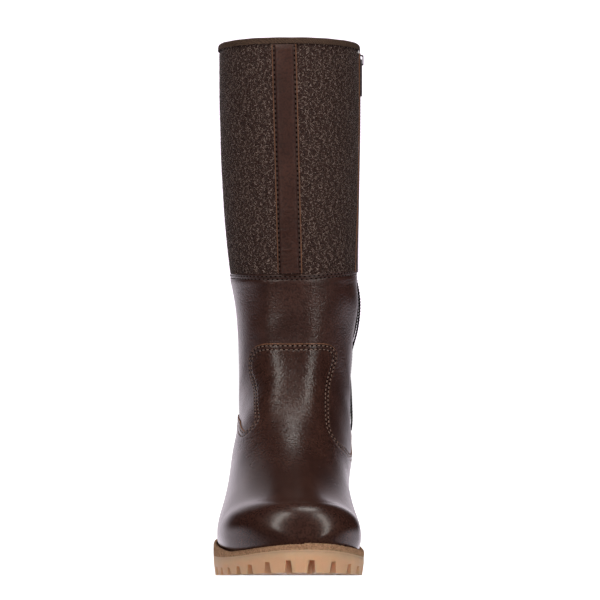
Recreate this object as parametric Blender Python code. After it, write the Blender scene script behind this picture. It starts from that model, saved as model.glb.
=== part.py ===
"""Winter boot for the right foot: leather foot, felt shaft, side zip and a gum rubber lug sole.

The boot stands on the floor at z = 0, its toe points to -Y and its inner side, with the zip, is +X.
Sizes are in millimetres. Points are given as along (from the back of the heel to the toe), across
(towards the inner side) and up (above the floor), and become metres where a mesh is made.
"""
import math
from collections import namedtuple

import bmesh
import bpy
import numpy as np

MM = 0.001

# Driving sizes, in millimetres
UPPER_LENGTH = 272.0
HEEL_ROUND = 40.0
TOE_ROUND = 80.0
HEEL_POWER = 2.25
TOE_POWER = 1.9
LEATHER_WALL = 3.0
FELT_WALL = 2.4
FELT_SET_BACK = 0.6
OVERLAY = 1.0
CLEARANCE = 0.3
TOE_RISE = 0.22
SOLE_MARGIN = 5.2
TREAD_DRAFT = 1.2
WELT_THICK = 5.0
WELT_LIP = 0.4
WELT_INSIDE = 9.0
INSOLE_THICK = 3.5
INSOLE_INSET = 5.5
HEEL_BREAST = 62.0
LUG_DEPTH = 7.0
LUG_PITCH = 16.8
LUG_SHIFT = 3.2
LUG_LENGTH = 15.0
TOE_NOTCHES = 3
SIDE_PITCH = 13.2
FOXING = 11.4
NOTCH_DEPTH = 8.5
NOTCH_LOW = 6.8
NOTCH_HIGH = 3.8
BELOW = 3.0
BALL_START = 150.0
CHANNEL_WIDTH = 5.0
CHANNEL_STEPS = 24
GROOVES = 4
GROOVE_START = 183.0
HEEL_RECESS_ALONG = 30.0
HEEL_RECESS_LENGTH = 28.0
HEEL_RECESS_WIDTH = 34.0
BINDING_DROP = 1.2
BINDING_RISE = 3.4
STRIP_WIDTH = 18.0
ZIP_ALONG = 54.0
ZIP_FOOT = 92.0
ZIP_SLIT = 11.0
ZIP_TOP = 377.0
TAPE_WIDTH = 26.0
TAPE_THICK = 0.8
CHAIN_WIDTH = 6.0
CHAIN_THICK = 1.6
FACING_WIDTH = 9.0
FACING_FLARE = 11.0
FLARE_LENGTH = 80.0
SLIDER_UP = 373.5
SLIDER_SUNK = 1.1
SLIDER_THICK = 2.0
BRIDGE_THICK = 0.8
PULL_LENGTH = 27.0
PULL_WIDTH = 7.0
PULL_THICK = 1.2

# Middle of the boot's bounding box, which becomes the origin
MIDDLE_ALONG = 136.0
MIDDLE_ACROSS = -2.6

# Faces around half a section, and steps along the sole's layers
HALF_COLUMNS = 10
SOLE_STEPS = 32

# Plan of the sole at the upper's lower edge
Plan = namedtuple("Plan", "along half centre edge_up")
PLAN = (
    Plan(0, 31.0, 0.0, 38.5),
    Plan(40, 31.8, -0.5, 38.0),
    Plan(80, 32.5, -2.4, 34.8),
    Plan(115, 36.5, -4.4, 28.5),
    Plan(150, 43.0, -5.2, 22.6),
    Plan(182, 47.3, -4.6, 20.3),
    Plan(215, 48.2, -2.4, 21.2),
    Plan(245, 50.0, 3.0, 25.6),
    Plan(272, 48.5, 7.0, 32.4),
)

# Rise of the welt's lip along the outer side of the foot
LipRise = namedtuple("LipRise", "along rise")
LIP_RISE = (
    LipRise(-10, 0.0),
    LipRise(110, 0.0),
    LipRise(150, 2.4),
    LipRise(182, 4.4),
    LipRise(212, 2.4),
    LipRise(240, -1.5),
    LipRise(262, -1.8),
    LipRise(284, 0.0),
)

# Underside of the sole from the heel breast to the toe
Tread = namedtuple("Tread", "along up")
TREAD = (
    Tread(65, 15.0),
    Tread(90, 13.0),
    Tread(120, 6.0),
    Tread(142, 0.6),
    Tread(152, 0.0),
    Tread(174, 0.0),
    Tread(188, 1.2),
    Tread(208, 3.7),
    Tread(232, 7.0),
    Tread(256, 10.4),
    Tread(280, 14.2),
)

# Sections that stand on the sole, each from the front line down to the sole's edge
Foot = namedtuple("Foot", "front_along front_up rear_along full_lateral full_medial widest power")
FOOT = (
    Foot(272.0, 32.6, 272.0, 0.0, 0.0, 0.60, 2.2),
    Foot(271.9, 38.2, 270.2, 3.5, 3.5, 0.60, 2.1),
    Foot(269.8, 44.8, 265.0, 6.5, 6.5, 0.61, 2.15),
    Foot(265.6, 51.0, 256.5, 9.5, 9.5, 0.63, 2.25),
    Foot(257.2, 56.8, 244.0, 12.0, 12.0, 0.66, 2.35),
    Foot(242.5, 59.8, 228.0, 14.0, 14.0, 0.70, 2.25),
    Foot(221.0, 65.6, 208.0, 14.0, 14.0, 0.76, 2.1),
    Foot(196.0, 76.0, 184.0, 12.8, 13.4, 0.80, 2.0),
    Foot(170.0, 91.0, 157.0, 13.0, 17.0, 0.80, 2.0),
    Foot(148.5, 110.0, 126.0, 18.9, 20.0, 0.71, 2.0),
    Foot(133.5, 128.5, 90.0, 26.6, 26.5, 0.61, 2.0),
    Foot(124.5, 144.0, 52.0, 26.8, 28.5, 0.58, 2.0),
    Foot(120.0, 157.0, 20.0, 30.4, 31.4, 0.52, 2.1),
    Foot(118.3, 167.0, 0.0, 41.2, 42.4, 0.48, 2.25),
)

# Closed sections of the heel and the shaft, each from the front line to the back line
Shaft = namedtuple("Shaft", "front_along front_up rear_along rear_up lateral medial centre widest power")
SHAFT = (
    Shaft(118.0, 174.5, -2.6, 58.0, 41.6, 42.7, -0.2, 0.46, 2.3),
    Shaft(117.8, 182.0, 0.5, 92.0, 41.8, 42.3, 0.0, 0.46, 2.3),
    Shaft(117.6, 190.0, 5.5, 130.0, 42.4, 44.4, 0.0, 0.48, 2.2),
    Shaft(117.6, 200.0, 8.0, 172.0, 44.0, 49.0, 0.0, 0.50, 2.15),
    Shaft(118.4, 213.5, 7.5, 213.5, 47.6, 48.4, -1.2, 0.50, 2.1),
    Shaft(121.0, 262.0, 5.0, 262.0, 50.9, 50.3, -2.7, 0.50, 2.1),
    Shaft(124.5, 325.0, 1.0, 324.0, 53.0, 52.0, -3.4, 0.50, 2.1),
    Shaft(127.0, 383.0, -2.0, 378.5, 53.2, 52.6, -3.9, 0.50, 2.1),
)

HEEL_ROW = len(FOOT) - 1
FELT_ROW = HEEL_ROW + 5
FELT_LINE = SHAFT[4].front_up
COLLAR_ROW = HEEL_ROW + len(SHAFT)

# Corners of the vamp's seam seen from the side, from the back of the heel to the tongue's top
Corner = namedtuple("Corner", "along up radius")
LATERAL_SEAM = (
    Corner(-30, 106, 0),
    Corner(20, 107, 25),
    Corner(70, 106.5, 40),
    Corner(104, 105, 30),
    Corner(152, 96, 5),
    Corner(99.5, 139, 12),
    Corner(97.5, 163, 17),
    Corner(330, 163, 0),
)
MEDIAL_SEAM = (
    Corner(-30, 106, 0),
    Corner(24, 106, 25),
    Corner(66, 79, 20),
    Corner(100, 80, 20),
    Corner(141, 94, 8),
    Corner(104.5, 147, 14),
    Corner(102.5, 163, 11),
    Corner(330, 163, 0),
)

# Middle of the front strip at its two ends
StripEnd = namedtuple("StripEnd", "across up")
STRIP_FOOT = StripEnd(-3.3, FELT_LINE + 1.0)
STRIP_TOP = StripEnd(-7.7, 381.3)

# Profile of the collar binding: out from the wall's face, up from the wall's top
Fold = namedtuple("Fold", "out up")
BINDING_FOLD = (
    Fold(CLEARANCE, -BINDING_DROP),
    Fold(CLEARANCE, CLEARANCE),
    Fold(-FELT_WALL - CLEARANCE, CLEARANCE),
    Fold(-FELT_WALL - CLEARANCE, -BINDING_DROP),
    Fold(-FELT_WALL - 1.4, -BINDING_DROP),
    Fold(-FELT_WALL - 1.4, 1.2),
    Fold(-FELT_WALL - 0.2, BINDING_RISE),
    Fold(-0.2, BINDING_RISE),
    Fold(0.9, 1.2),
    Fold(0.9, -BINDING_DROP),
)

# Finishes, as colour, roughness and metalness
Finish = namedtuple("Finish", "colour roughness metal")
LEATHER = Finish((0.048, 0.023, 0.019), 0.38, 0.0)
FELT = Finish((0.055, 0.030, 0.024), 0.95, 0.0)
BINDING = Finish((0.054, 0.032, 0.021), 0.55, 0.0)
GUM = Finish((0.60, 0.38, 0.22), 0.55, 0.0)
WELT = Finish((0.33, 0.19, 0.10), 0.85, 0.0)
LINING = Finish((0.30, 0.25, 0.20), 0.95, 0.0)
TAPE = Finish((0.02, 0.014, 0.012), 0.85, 0.0)
GUNMETAL = Finish((0.22, 0.21, 0.21), 0.32, 1.0)


def smooth(knots, values, at):
    """Smooth curve through the values at the knots, read at one place."""
    knots = np.asarray(knots, dtype=float)
    values = np.asarray(values, dtype=float)
    slopes = np.gradient(values, knots, axis=0)
    index = int(np.clip(np.searchsorted(knots, at) - 1, 0, len(knots) - 2))
    gap = knots[index + 1] - knots[index]
    t = (at - knots[index]) / gap
    start = (2 * t**3 - 3 * t**2 + 1) * values[index] + (t**3 - 2 * t**2 + t) * gap * slopes[index]
    end = (3 * t**2 - 2 * t**3) * values[index + 1] + (t**3 - t**2) * gap * slopes[index + 1]
    return start + end


def plan_row(along):
    """Plan half width, centre line and edge height at one distance from the heel."""
    inside = min(max(along, 0.0), UPPER_LENGTH)
    return Plan(inside, *smooth([row.along for row in PLAN], [row[1:] for row in PLAN], inside))


def end_cap(share, power):
    """Share of the full width near a rounded end, from 0 at the tip to 1."""
    left = 1.0 - min(max(share, 0.0), 1.0)
    return (1.0 - left**power) ** (1.0 / power)


def plan_half(along, margin=0.0):
    """Half width of the sole's plan, widened all round by a margin."""
    heel = end_cap((along + margin) / (HEEL_ROUND + margin), HEEL_POWER)
    toe = end_cap((UPPER_LENGTH + margin - along) / (TOE_ROUND + margin), TOE_POWER)
    return (plan_row(along).half + margin) * heel * toe


def edge_up(along):
    """Height of the upper's lower edge, which is the top of the welt and rises on past the toe."""
    row = plan_row(along)
    return row.edge_up + TOE_RISE * max(along - row.along, 0.0)


def lip_rise(along):
    """Rise of the welt's lip at one distance from the heel, on the outer side."""
    return float(smooth([row.along for row in LIP_RISE], [row.rise for row in LIP_RISE], along))


def tread_up(along):
    """Height of the sole's underside: the flat heel, the arch, the flat ball and the toe spring."""
    if along <= HEEL_BREAST + 0.5:
        return 0.0
    return max(0.0, float(smooth([row.along for row in TREAD], [row.up for row in TREAD], along)))


def section_row(at):
    """Front point, rear point, half widths and shape of the section at one place in the tables."""
    table = []
    for row in FOOT:
        plan = plan_row(row.rear_along)
        table.append((row.front_along, row.front_up, row.rear_along, plan.edge_up,
                      row.full_lateral, row.full_medial, plan.centre, row.widest, row.power))
    for row in SHAFT:
        table.append(tuple(row))
    values = smooth(range(len(table)), table, at)
    sole_half = 0.0
    if at < HEEL_ROW:
        rear = min(max(values[2], 0.0), UPPER_LENGTH)
        values[2] = rear
        values[3] = edge_up(rear)
        values[6] = plan_row(rear).centre
        sole_half = plan_half(rear)
    return values, sole_half


def half_section(depth, half, rear_half, widest, power, columns):
    """Evenly spaced points of one side of a section: share from front to rear, and half width."""
    if depth < 1e-6 or half < 1e-6:
        return np.zeros((columns + 1, 2))
    ratio = min(rear_half / half, 0.9999)
    reach = (1.0 - widest) / (1.0 - ratio**power) ** (1.0 / power)
    front = np.linspace(0.0, math.pi / 2, 80)
    rear = np.linspace(0.0, math.acos(ratio ** (power / 2)), 80)[1:]
    share = np.concatenate((widest * (1.0 - np.cos(front) ** (2 / power)),
                            widest + reach * np.sin(rear) ** (2 / power)))
    width = half * np.concatenate((np.sin(front) ** (2 / power), np.cos(rear) ** (2 / power)))
    steps = np.hypot(np.diff(share) * depth, np.diff(width))
    walked = np.concatenate(((0.0,), np.cumsum(steps)))
    even = np.linspace(0.0, walked[-1], columns + 1)
    return np.column_stack((np.interp(even, walked, share), np.interp(even, walked, width)))


def section_points(at, columns=HALF_COLUMNS):
    """One section of the form, from its lateral end over the front to its medial end."""
    values, sole_half = section_row(at)
    front_along, front_up, rear_along, rear_up, lateral, medial, centre, widest, power = values
    depth = math.hypot(rear_along - front_along, rear_up - front_up)
    sides = []
    for sign, full in ((-1.0, lateral), (1.0, medial)):
        half = math.hypot(sole_half, full)
        side = half_section(depth, half, sole_half, widest, power, columns)
        points = np.column_stack((front_along + side[:, 0] * (rear_along - front_along),
                                  centre + sign * side[:, 1],
                                  front_up + side[:, 0] * (rear_up - front_up)))
        sides.append(points)
    return np.concatenate((sides[0][::-1], sides[1][1:]))


def row_places(first, last):
    """Places of the sections between two rows, closer together where the heel turns."""
    places = []
    for row in range(first, last):
        steps = 4 if row == HEEL_ROW - 1 else 2
        places.extend(row + step / steps for step in range(steps))
    return places + [last]


def place(along, across, up):
    """Metres in the boot's frame from along, across and up in millimetres."""
    return ((across - MIDDLE_ACROSS) * MM, (MIDDLE_ALONG - along) * MM, up * MM)


def new_collection(name):
    """Collection linked to the scene."""
    collection = bpy.data.collections.new(name)
    bpy.context.scene.collection.children.link(collection)
    return collection


def make_material(name, finish):
    """Principled material of one finish."""
    material = bpy.data.materials.new(name)
    material.use_nodes = True
    shader = material.node_tree.nodes["Principled BSDF"]
    shader.inputs["Base Color"].default_value = (*finish.colour, 1.0)
    shader.inputs["Roughness"].default_value = finish.roughness
    shader.inputs["Metallic"].default_value = finish.metal
    return material


def mesh_object(name, shape, finish=None):
    """Object from a bmesh, as a part with its finish or as a cutter."""
    bmesh.ops.remove_doubles(shape, verts=shape.verts, dist=0.00002)
    if all(edge.is_manifold for edge in shape.edges):
        bmesh.ops.recalc_face_normals(shape, faces=shape.faces)
    mesh = bpy.data.meshes.new(name)
    shape.to_mesh(mesh)
    shape.free()
    return add_object(name, mesh, finish)


def add_object(name, mesh, finish):
    """Object of a mesh in the parts or the cutters."""
    thing = bpy.data.objects.new(name, mesh)
    if finish is None:
        CUTTERS.objects.link(thing)
        thing.hide_render = True
        thing.display_type = "WIRE"
    else:
        PARTS.objects.link(thing)
        mesh.materials.clear()
        mesh.materials.append(make_material(name, finish))
    return thing


def loft(name, rings, finish=None, around=True):
    """Closed solid through rings of equally many points; the rings close up around, or the ends do."""
    shape = bmesh.new()
    rows = [[shape.verts.new(place(*point)) for point in ring] for ring in rings]
    pairs = list(zip(rows, rows[1:]))
    if around:
        pairs.append((rows[-1], rows[0]))
    for one, two in pairs:
        for index in range(len(one)):
            after = (index + 1) % len(one)
            shape.faces.new((one[index], one[after], two[after], two[index]))
    if not around:
        shape.faces.new(rows[0])
        shape.faces.new(rows[-1])
    return mesh_object(name, shape, finish)


def form_skin(first, last):
    """Open skin of the boot's form between two rows of the tables, in triangles facing outwards."""
    shape = bmesh.new()
    rows = []
    for at in row_places(first, last):
        rows.append([shape.verts.new(place(*point)) for point in section_points(at)])
    for one, two in zip(rows, rows[1:]):
        for index in range(2 * HALF_COLUMNS):
            near, far = (one[index], one[index + 1]), (two[index], two[index + 1])
            if (near[1].co - far[0].co).length < (near[0].co - far[1].co).length:
                shape.faces.new((near[0], near[1], far[0]))
                shape.faces.new((near[1], far[1], far[0]))
            else:
                shape.faces.new((near[0], near[1], far[1]))
                shape.faces.new((near[0], far[1], far[0]))
    bmesh.ops.remove_doubles(shape, verts=shape.verts, dist=0.00002)
    bmesh.ops.dissolve_degenerate(shape, edges=shape.edges, dist=0.00001)
    shape.normal_update()
    return shape


def form_wall(name, first, last, out, thick, finish):
    """Wall of the form between two rows, from its face moved out to its thickness inwards."""
    skin = form_skin(first, last)
    shape = bmesh.new()
    faces = [{vert: shape.verts.new(vert.co + vert.normal * distance * MM) for vert in skin.verts}
             for distance in (out, out - thick)]
    for face in skin.faces:
        shape.faces.new([faces[0][vert] for vert in face.verts])
        shape.faces.new([faces[1][vert] for vert in reversed(face.verts)])
    for edge in skin.edges:
        if edge.is_boundary:
            one, two = edge.verts
            shape.faces.new((faces[0][one], faces[0][two], faces[1][two], faces[1][one]))
    skin.free()
    return mesh_object(name, shape, finish)


def cut(thing, cutter, operation="DIFFERENCE"):
    """Boolean of a part with a cutter."""
    boolean = thing.modifiers.new(cutter.name, "BOOLEAN")
    boolean.operation = operation
    boolean.solver = "EXACT"
    boolean.object = cutter


def rounded_path(corners):
    """Points of a path in the side view with its corners rounded."""
    points = [(corners[0].along, corners[0].up)]
    for before, corner, after in zip(corners, corners[1:], corners[2:]):
        middle = np.array((corner.along, corner.up), dtype=float)
        back = np.array((before.along, before.up)) - middle
        ahead = np.array((after.along, after.up)) - middle
        back /= np.linalg.norm(back)
        ahead /= np.linalg.norm(ahead)
        turn = math.acos(float(np.clip(back @ ahead, -1.0, 1.0)))
        reach = corner.radius / math.tan(turn / 2)
        centre = middle + (back + ahead) / np.linalg.norm(back + ahead) * corner.radius / math.sin(turn / 2)
        start = middle + back * reach - centre
        end = middle + ahead * reach - centre
        sweep = math.pi - turn
        for step in range(6):
            share = step / 5
            spoke = start * math.sin((1 - share) * sweep) + end * math.sin(share * sweep)
            points.append(tuple(centre + spoke / math.sin(sweep)))
    points.append((corners[-1].along, corners[-1].up))
    return points


def side_prism(name, outline, low, high):
    """Cutter with an outline in the side view, reaching between two places across."""
    rings = [[(along, across, up) for along, up in outline] for across in (low, high)]
    return loft(name, rings, around=False)


def side_box(name, along, up, across):
    """Cutter box from its ranges along, up and across."""
    outline = ((along[0], up[0]), (along[1], up[0]), (along[1], up[1]), (along[0], up[1]))
    return side_prism(name, outline, *across)


def outline_points(along, margin, up):
    """Lateral and medial points of the plan with a margin, at one station of the upper's length."""
    share = along / UPPER_LENGTH
    reached = -margin + share * (UPPER_LENGTH + 2 * margin)
    half = plan_half(reached, margin)
    centre = plan_row(reached).centre
    height = up(reached)
    return (reached, centre - half, height), (reached, centre + half, height)


def stations(count):
    """Stations from heel to toe, closer together at both ends."""
    return [UPPER_LENGTH * (1 - math.cos(math.pi * step / count)) / 2 for step in range(count + 1)]


def plate(name, levels, places, finish=None):
    """Solid sole layer through levels of margin and height, at stations from heel to toe."""
    rings = []
    for along in places:
        sides = [outline_points(along, margin, up) for margin, up in levels]
        rings.append([lateral for lateral, medial in sides] + [medial for lateral, medial in sides[::-1]])
    return loft(name, rings, finish, around=False)


def sole_ring(name, outer, inner, places, finish=None):
    """Ring around the sole with closed profiles of margins and heights for its outer and inner side."""
    lateral = [[outline_points(along, margin, up)[0] for margin, up in outer] for along in places]
    medial = [[outline_points(along, margin, up)[1] for margin, up in inner] for along in places]
    return loft(name, lateral + medial[-2:0:-1], finish)


def perimeter(margin, count=400):
    """Dense points of the plan's edge from the toe tip back to the heel, on each side."""
    return [np.array([outline_points(along, margin, tread_up)[side] for along in stations(count)[::-1]])
            for side in (0, 1)]


def make_outsole():
    """Gum sole with heel: one body, its tread cut by edge notches, channels and cross grooves."""
    below = SOLE_MARGIN - TREAD_DRAFT
    places = sorted(stations(SOLE_STEPS) + [HEEL_BREAST, HEEL_BREAST + 4.0])
    levels = ((below, tread_up),
              (SOLE_MARGIN, lambda along: edge_up(along) - WELT_THICK - 4.0),
              (SOLE_MARGIN, lambda along: edge_up(along) - WELT_THICK - CLEARANCE))
    outsole = plate("outsole", levels, places, GUM)
    cut(outsole, make_notches())
    cut(outsole, make_channel())
    cut(outsole, make_grooves())
    return outsole


def notch_places(shift, length):
    """Distances of the notches from the toe's tip along one side, closer together behind the toe."""
    first = LUG_PITCH / 2 + shift
    side_first = first + TOE_NOTCHES * LUG_PITCH - (LUG_PITCH - SIDE_PITCH)
    return [first + step * LUG_PITCH for step in range(TOE_NOTCHES)] + list(
        np.arange(side_first, length - SIDE_PITCH / 3, SIDE_PITCH))


def make_notches():
    """Tapered notches around the sole's edge, in the ball, the toe and the heel."""
    shape = bmesh.new()
    for edge, shift in zip(perimeter(SOLE_MARGIN), (LUG_SHIFT, -LUG_SHIFT)):
        steps = np.linalg.norm(np.diff(edge[:, :2], axis=0), axis=1)
        walked = np.concatenate(((0.0,), np.cumsum(steps)))
        for distance in notch_places(shift, walked[-1]):
            here = np.array([np.interp(distance, walked, edge[:, axis]) for axis in range(3)])
            ahead = np.array([np.interp(distance + 1.0, walked, edge[:, axis]) for axis in range(3)])
            if HEEL_BREAST - 10 < here[0] < BALL_START:
                continue
            run = (ahead - here)[:2] / np.linalg.norm((ahead - here)[:2])
            inward = np.array((-run[1], run[0]))
            middle = np.array((min(max(here[0], HEEL_ROUND), 200.0), plan_row(here[0]).centre))
            if inward @ (middle - here[:2]) < 0:
                inward = -inward
            add_notch(shape, here, run, inward)
    return mesh_object("notch_cutter", shape)


def add_notch(shape, here, run, inward):
    """One notch at a point of the edge, wider below than above, up to the plain band under the welt."""
    rise = min(NOTCH_DEPTH, edge_up(here[0]) - here[2] - FOXING)
    corners = []
    for depth in (-3.0, LUG_LENGTH + 2.0):
        for width, height in ((NOTCH_LOW, -BELOW), (NOTCH_HIGH, rise)):
            for sign in (-0.5, 0.5):
                spot = here[:2] + inward * depth + run * sign * width
                corners.append(shape.verts.new(place(spot[0], spot[1], here[2] + height)))
    for face in ((0, 1, 3, 2), (4, 6, 7, 5), (0, 4, 5, 1), (2, 3, 7, 6), (0, 2, 6, 4), (1, 5, 7, 3)):
        shape.faces.new([corners[index] for index in face])


def channel_point(turn, margin, height):
    """Point of the loop that rings the middle of the ball and the toe, at one turn of the loop."""
    first = BALL_START + 10.0 - margin
    last = UPPER_LENGTH + margin
    along = (first + last) / 2 + (last - first) / 2 * math.cos(turn)
    half = plan_half(along, margin) * end_cap((along - first) / 30.0, HEEL_POWER)
    side = 0.0 if abs(math.sin(turn)) < 1e-6 else math.copysign(1.0, math.sin(turn))
    return along, plan_row(along).centre + side * half, tread_up(along) + height


def make_channel():
    """Channel between the edge lugs and the middle of the ball and the toe."""
    outer = SOLE_MARGIN - LUG_LENGTH
    inner = outer - CHANNEL_WIDTH
    profile = ((outer, -BELOW), (outer, LUG_DEPTH), (inner, LUG_DEPTH), (inner, -BELOW))
    turns = [2 * math.pi * step / CHANNEL_STEPS for step in range(CHANNEL_STEPS)]
    rings = [[channel_point(turn, margin, height) for margin, height in profile] for turn in turns]
    return loft("channel_cutter", rings)


def make_grooves():
    """Grooves across the middle of the ball, and the recess inside the heel's lugs."""
    shape = bmesh.new()
    margin = SOLE_MARGIN - LUG_LENGTH - CHANNEL_WIDTH / 2
    bars = []
    for step in range(GROOVES):
        along = GROOVE_START + LUG_PITCH * step
        bars.append((along, CHANNEL_WIDTH, 2 * plan_half(along, margin)))
    bars.append((HEEL_RECESS_ALONG, HEEL_RECESS_LENGTH, HEEL_RECESS_WIDTH))
    for along, length, width in bars:
        low = tread_up(along) - BELOW - 1.0
        high = tread_up(along) + LUG_DEPTH
        centre = plan_row(along).centre
        for vert in bmesh.ops.create_cube(shape, size=1.0)["verts"]:
            height = low if vert.co.z < 0 else high
            vert.co = place(along + length * vert.co.y, centre + width * vert.co.x, height)
    return mesh_object("groove_cutter", shape)


def make_welt():
    """Ring strip between the outsole and the upper, its lip uneven along the outer side of the foot."""
    def raised(amount, share=0.0):
        return lambda along: edge_up(along) + amount + share * lip_rise(along)

    sides = []
    for share in (1.0, 0.0):
        sides.append(((SOLE_MARGIN, raised(-WELT_THICK)), (SOLE_MARGIN, raised(-0.6, share)),
                      (SOLE_MARGIN - 0.6, raised(WELT_LIP, share)), (SOLE_MARGIN - 2.0, raised(WELT_LIP, share)),
                      (SOLE_MARGIN - 2.8, raised(-CLEARANCE)), (-WELT_INSIDE, raised(-CLEARANCE)),
                      (-WELT_INSIDE, raised(-WELT_THICK))))
    return sole_ring("welt", *sides, stations(SOLE_STEPS), WELT)


def make_insole():
    """Footbed lying on the welt inside the upper."""
    levels = ((-INSOLE_INSET, edge_up), (-INSOLE_INSET, lambda along: edge_up(along) + INSOLE_THICK))
    return plate("insole", levels, stations(SOLE_STEPS), LINING)


def make_vamp():
    """Foot overlay, cut between two forms along the seam of each side."""
    vamp = form_wall("vamp", 0, HEEL_ROW + 3, CLEARANCE + OVERLAY, OVERLAY, LEATHER)
    rings = []
    for across, seam in ((-120, LATERAL_SEAM), (-12, LATERAL_SEAM), (12, MEDIAL_SEAM), (120, MEDIAL_SEAM)):
        outline = rounded_path(seam) + [(330, 450), (-30, 450)]
        rings.append([(along, across, up) for along, up in outline])
    cut(vamp, loft("vamp_window", rings, around=False))
    cut(vamp, side_prism("vamp_foot", foot_outline(), -120, 120))
    return vamp


def foot_outline():
    """Side outline below the vamp's lower edge, which keeps clear of the welt."""
    clear = WELT_LIP + CLEARANCE
    places = [-30.0] + stations(SOLE_STEPS) + [300.0]
    return [(along, edge_up(along) + clear) for along in places] + [(300, -20), (-30, -20)]


def make_strip():
    """Leather strip down the front of the felt."""
    face = -FELT_SET_BACK + CLEARANCE + 1.2
    strip = form_wall("front_strip", FELT_ROW, COLLAR_ROW, face, 1.2, LEATHER)
    low, high = STRIP_FOOT, STRIP_TOP
    half = STRIP_WIDTH / 2
    corners = ((low.across - half, low.up), (low.across + half, low.up),
               (high.across + half, high.up), (high.across - half, high.up))
    rings = [[(along, across, up) for across, up in corners] for along in (95, 160)]
    cut(strip, loft("strip_form", rings, around=False), "INTERSECT")
    return strip


def make_binding():
    """Binding folded over the collar rim, open at the zip."""
    points = section_points(COLLAR_ROW)[:-1]
    ahead = np.roll(points, -1, axis=0) - np.roll(points, 1, axis=0)
    outward = np.column_stack((-ahead[:, 1], ahead[:, 0]))
    outward /= np.linalg.norm(outward, axis=1)[:, None]
    middle = points.mean(axis=0)[:2]
    if np.sum(outward * (points[:, :2] - middle)) < 0:
        outward = -outward
    rings = []
    for point, normal in zip(points, outward):
        rings.append([(*(point[:2] + normal * (fold.out - FELT_SET_BACK)), point[2] + fold.up)
                      for fold in BINDING_FOLD])
    return loft("collar_binding", rings, BINDING)


def form_across(along, up):
    """Where the medial face of the form lies at one place of the side view."""
    best = None
    for at in np.linspace(FELT_ROW, COLLAR_ROW, 90):
        for point in section_points(at, 60)[60:]:
            distance = math.hypot(point[0] - along, point[2] - up)
            if best is None or distance < best[0]:
                best = (distance, point[1])
    return best[1]


def make_zip_strip(name, out, thick, along, up, finish, flare=0.0):
    """Strip along the zip, cut between two forms by an outline in the side view that may flare below."""
    first = HEEL_ROW - 4 if up[0] < 200 else FELT_ROW
    strip = form_wall(name, first, COLLAR_ROW, out, thick, finish)
    outline = [(along[0], up[0]), (along[1] + flare, up[0])]
    if flare:
        outline.append((along[1] + 0.4 * flare, up[0] + 0.5 * FLARE_LENGTH))
        outline.append((along[1], up[0] + FLARE_LENGTH))
    outline += [(along[1], up[1]), (along[0], up[1])]
    cut(strip, side_prism(name + "_form", outline, 0, 120), "INTERSECT")
    return strip


def make_zip():
    """Zip tape, closed chain and the leather facings beside them on the felt."""
    edge = ZIP_SLIT / 2
    inside = -LEATHER_WALL - CLEARANCE
    chain_face = -LEATHER_WALL + CHAIN_THICK
    face = -FELT_SET_BACK + CLEARANCE + OVERLAY
    facing_up = (FELT_LINE + 1.0, ZIP_TOP + 1.0)
    front = (ZIP_ALONG + edge, ZIP_ALONG + edge + FACING_WIDTH)
    rear = (ZIP_ALONG - edge - FACING_WIDTH, ZIP_ALONG - edge)
    tape = (ZIP_ALONG - TAPE_WIDTH / 2, ZIP_ALONG + TAPE_WIDTH / 2)
    chain = (ZIP_ALONG - CHAIN_WIDTH / 2, ZIP_ALONG + CHAIN_WIDTH / 2)
    make_zip_strip("zip_tape", inside, TAPE_THICK, tape, (ZIP_FOOT - 6, ZIP_TOP), TAPE)
    make_zip_strip("zip_chain", chain_face, CHAIN_THICK, chain, (ZIP_FOOT + 2, ZIP_TOP + 2), TAPE)
    make_zip_strip("zip_facing_front", face, OVERLAY, front, facing_up, LEATHER, FACING_FLARE)
    make_zip_strip("zip_facing_rear", face, OVERLAY, rear, facing_up, LEATHER)


def flat_piece(name, splines, thick, finish):
    """Flat plate lying in the YZ plane, from closed outlines in millimetres with rounded edges."""
    curve = bpy.data.curves.new(name, "CURVE")
    curve.dimensions = "2D"
    curve.fill_mode = "BOTH"
    curve.extrude = (thick / 2 - 0.2) * MM
    curve.bevel_depth = 0.2 * MM
    curve.bevel_resolution = 0
    for outline in splines:
        spline = curve.splines.new("POLY")
        spline.points.add(len(outline) - 1)
        spline.use_cyclic_u = True
        for point, (side, up) in zip(spline.points, outline):
            point.co = (side * MM, up * MM, 0.0, 1.0)
    holder = bpy.data.objects.new(name + "_curve", curve)
    mesh = bpy.data.meshes.new_from_object(holder)
    bpy.data.objects.remove(holder)
    shape = bmesh.new()
    shape.from_mesh(mesh)
    bpy.data.meshes.remove(mesh)
    for vert in shape.verts:
        vert.co = (vert.co.z, vert.co.x, vert.co.y)
    return mesh_object(name, shape, finish)


def round_box(half_side, top, bottom, corner):
    """Outline of an upright box with cut corners, from its half width, top and bottom."""
    return [(-half_side + corner, bottom), (half_side - corner, bottom), (half_side, bottom + corner),
            (half_side, top - corner), (half_side - corner, top), (-half_side + corner, top),
            (-half_side, top - corner), (-half_side, bottom + corner)]


def make_slider(form):
    """Slider body on the chain with the bridge that holds the pull, beside the form's face."""
    body = flat_piece("zip_slider", [round_box(4.6, 6.5, -6.5, 1.6)], SLIDER_THICK, GUNMETAL)
    face = form - SLIDER_SUNK + SLIDER_THICK
    body.location = place(ZIP_ALONG, face - SLIDER_THICK / 2, SLIDER_UP)
    inner = PULL_THICK + 2 * CLEARANCE
    outer = inner + BRIDGE_THICK
    arch = ((-0.4, -4.6), (outer, -3.6), (outer, 3.6), (-0.4, 4.6),
            (-0.4, 3.4), (inner, 2.6), (inner, -2.6), (-0.4, -3.4))
    rings = [[(ZIP_ALONG + side, face + out, SLIDER_UP + up) for out, up in arch] for side in (-1.1, 1.1)]
    cut(body, loft("bridge_form", rings, around=False), "UNION")
    return body


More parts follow.
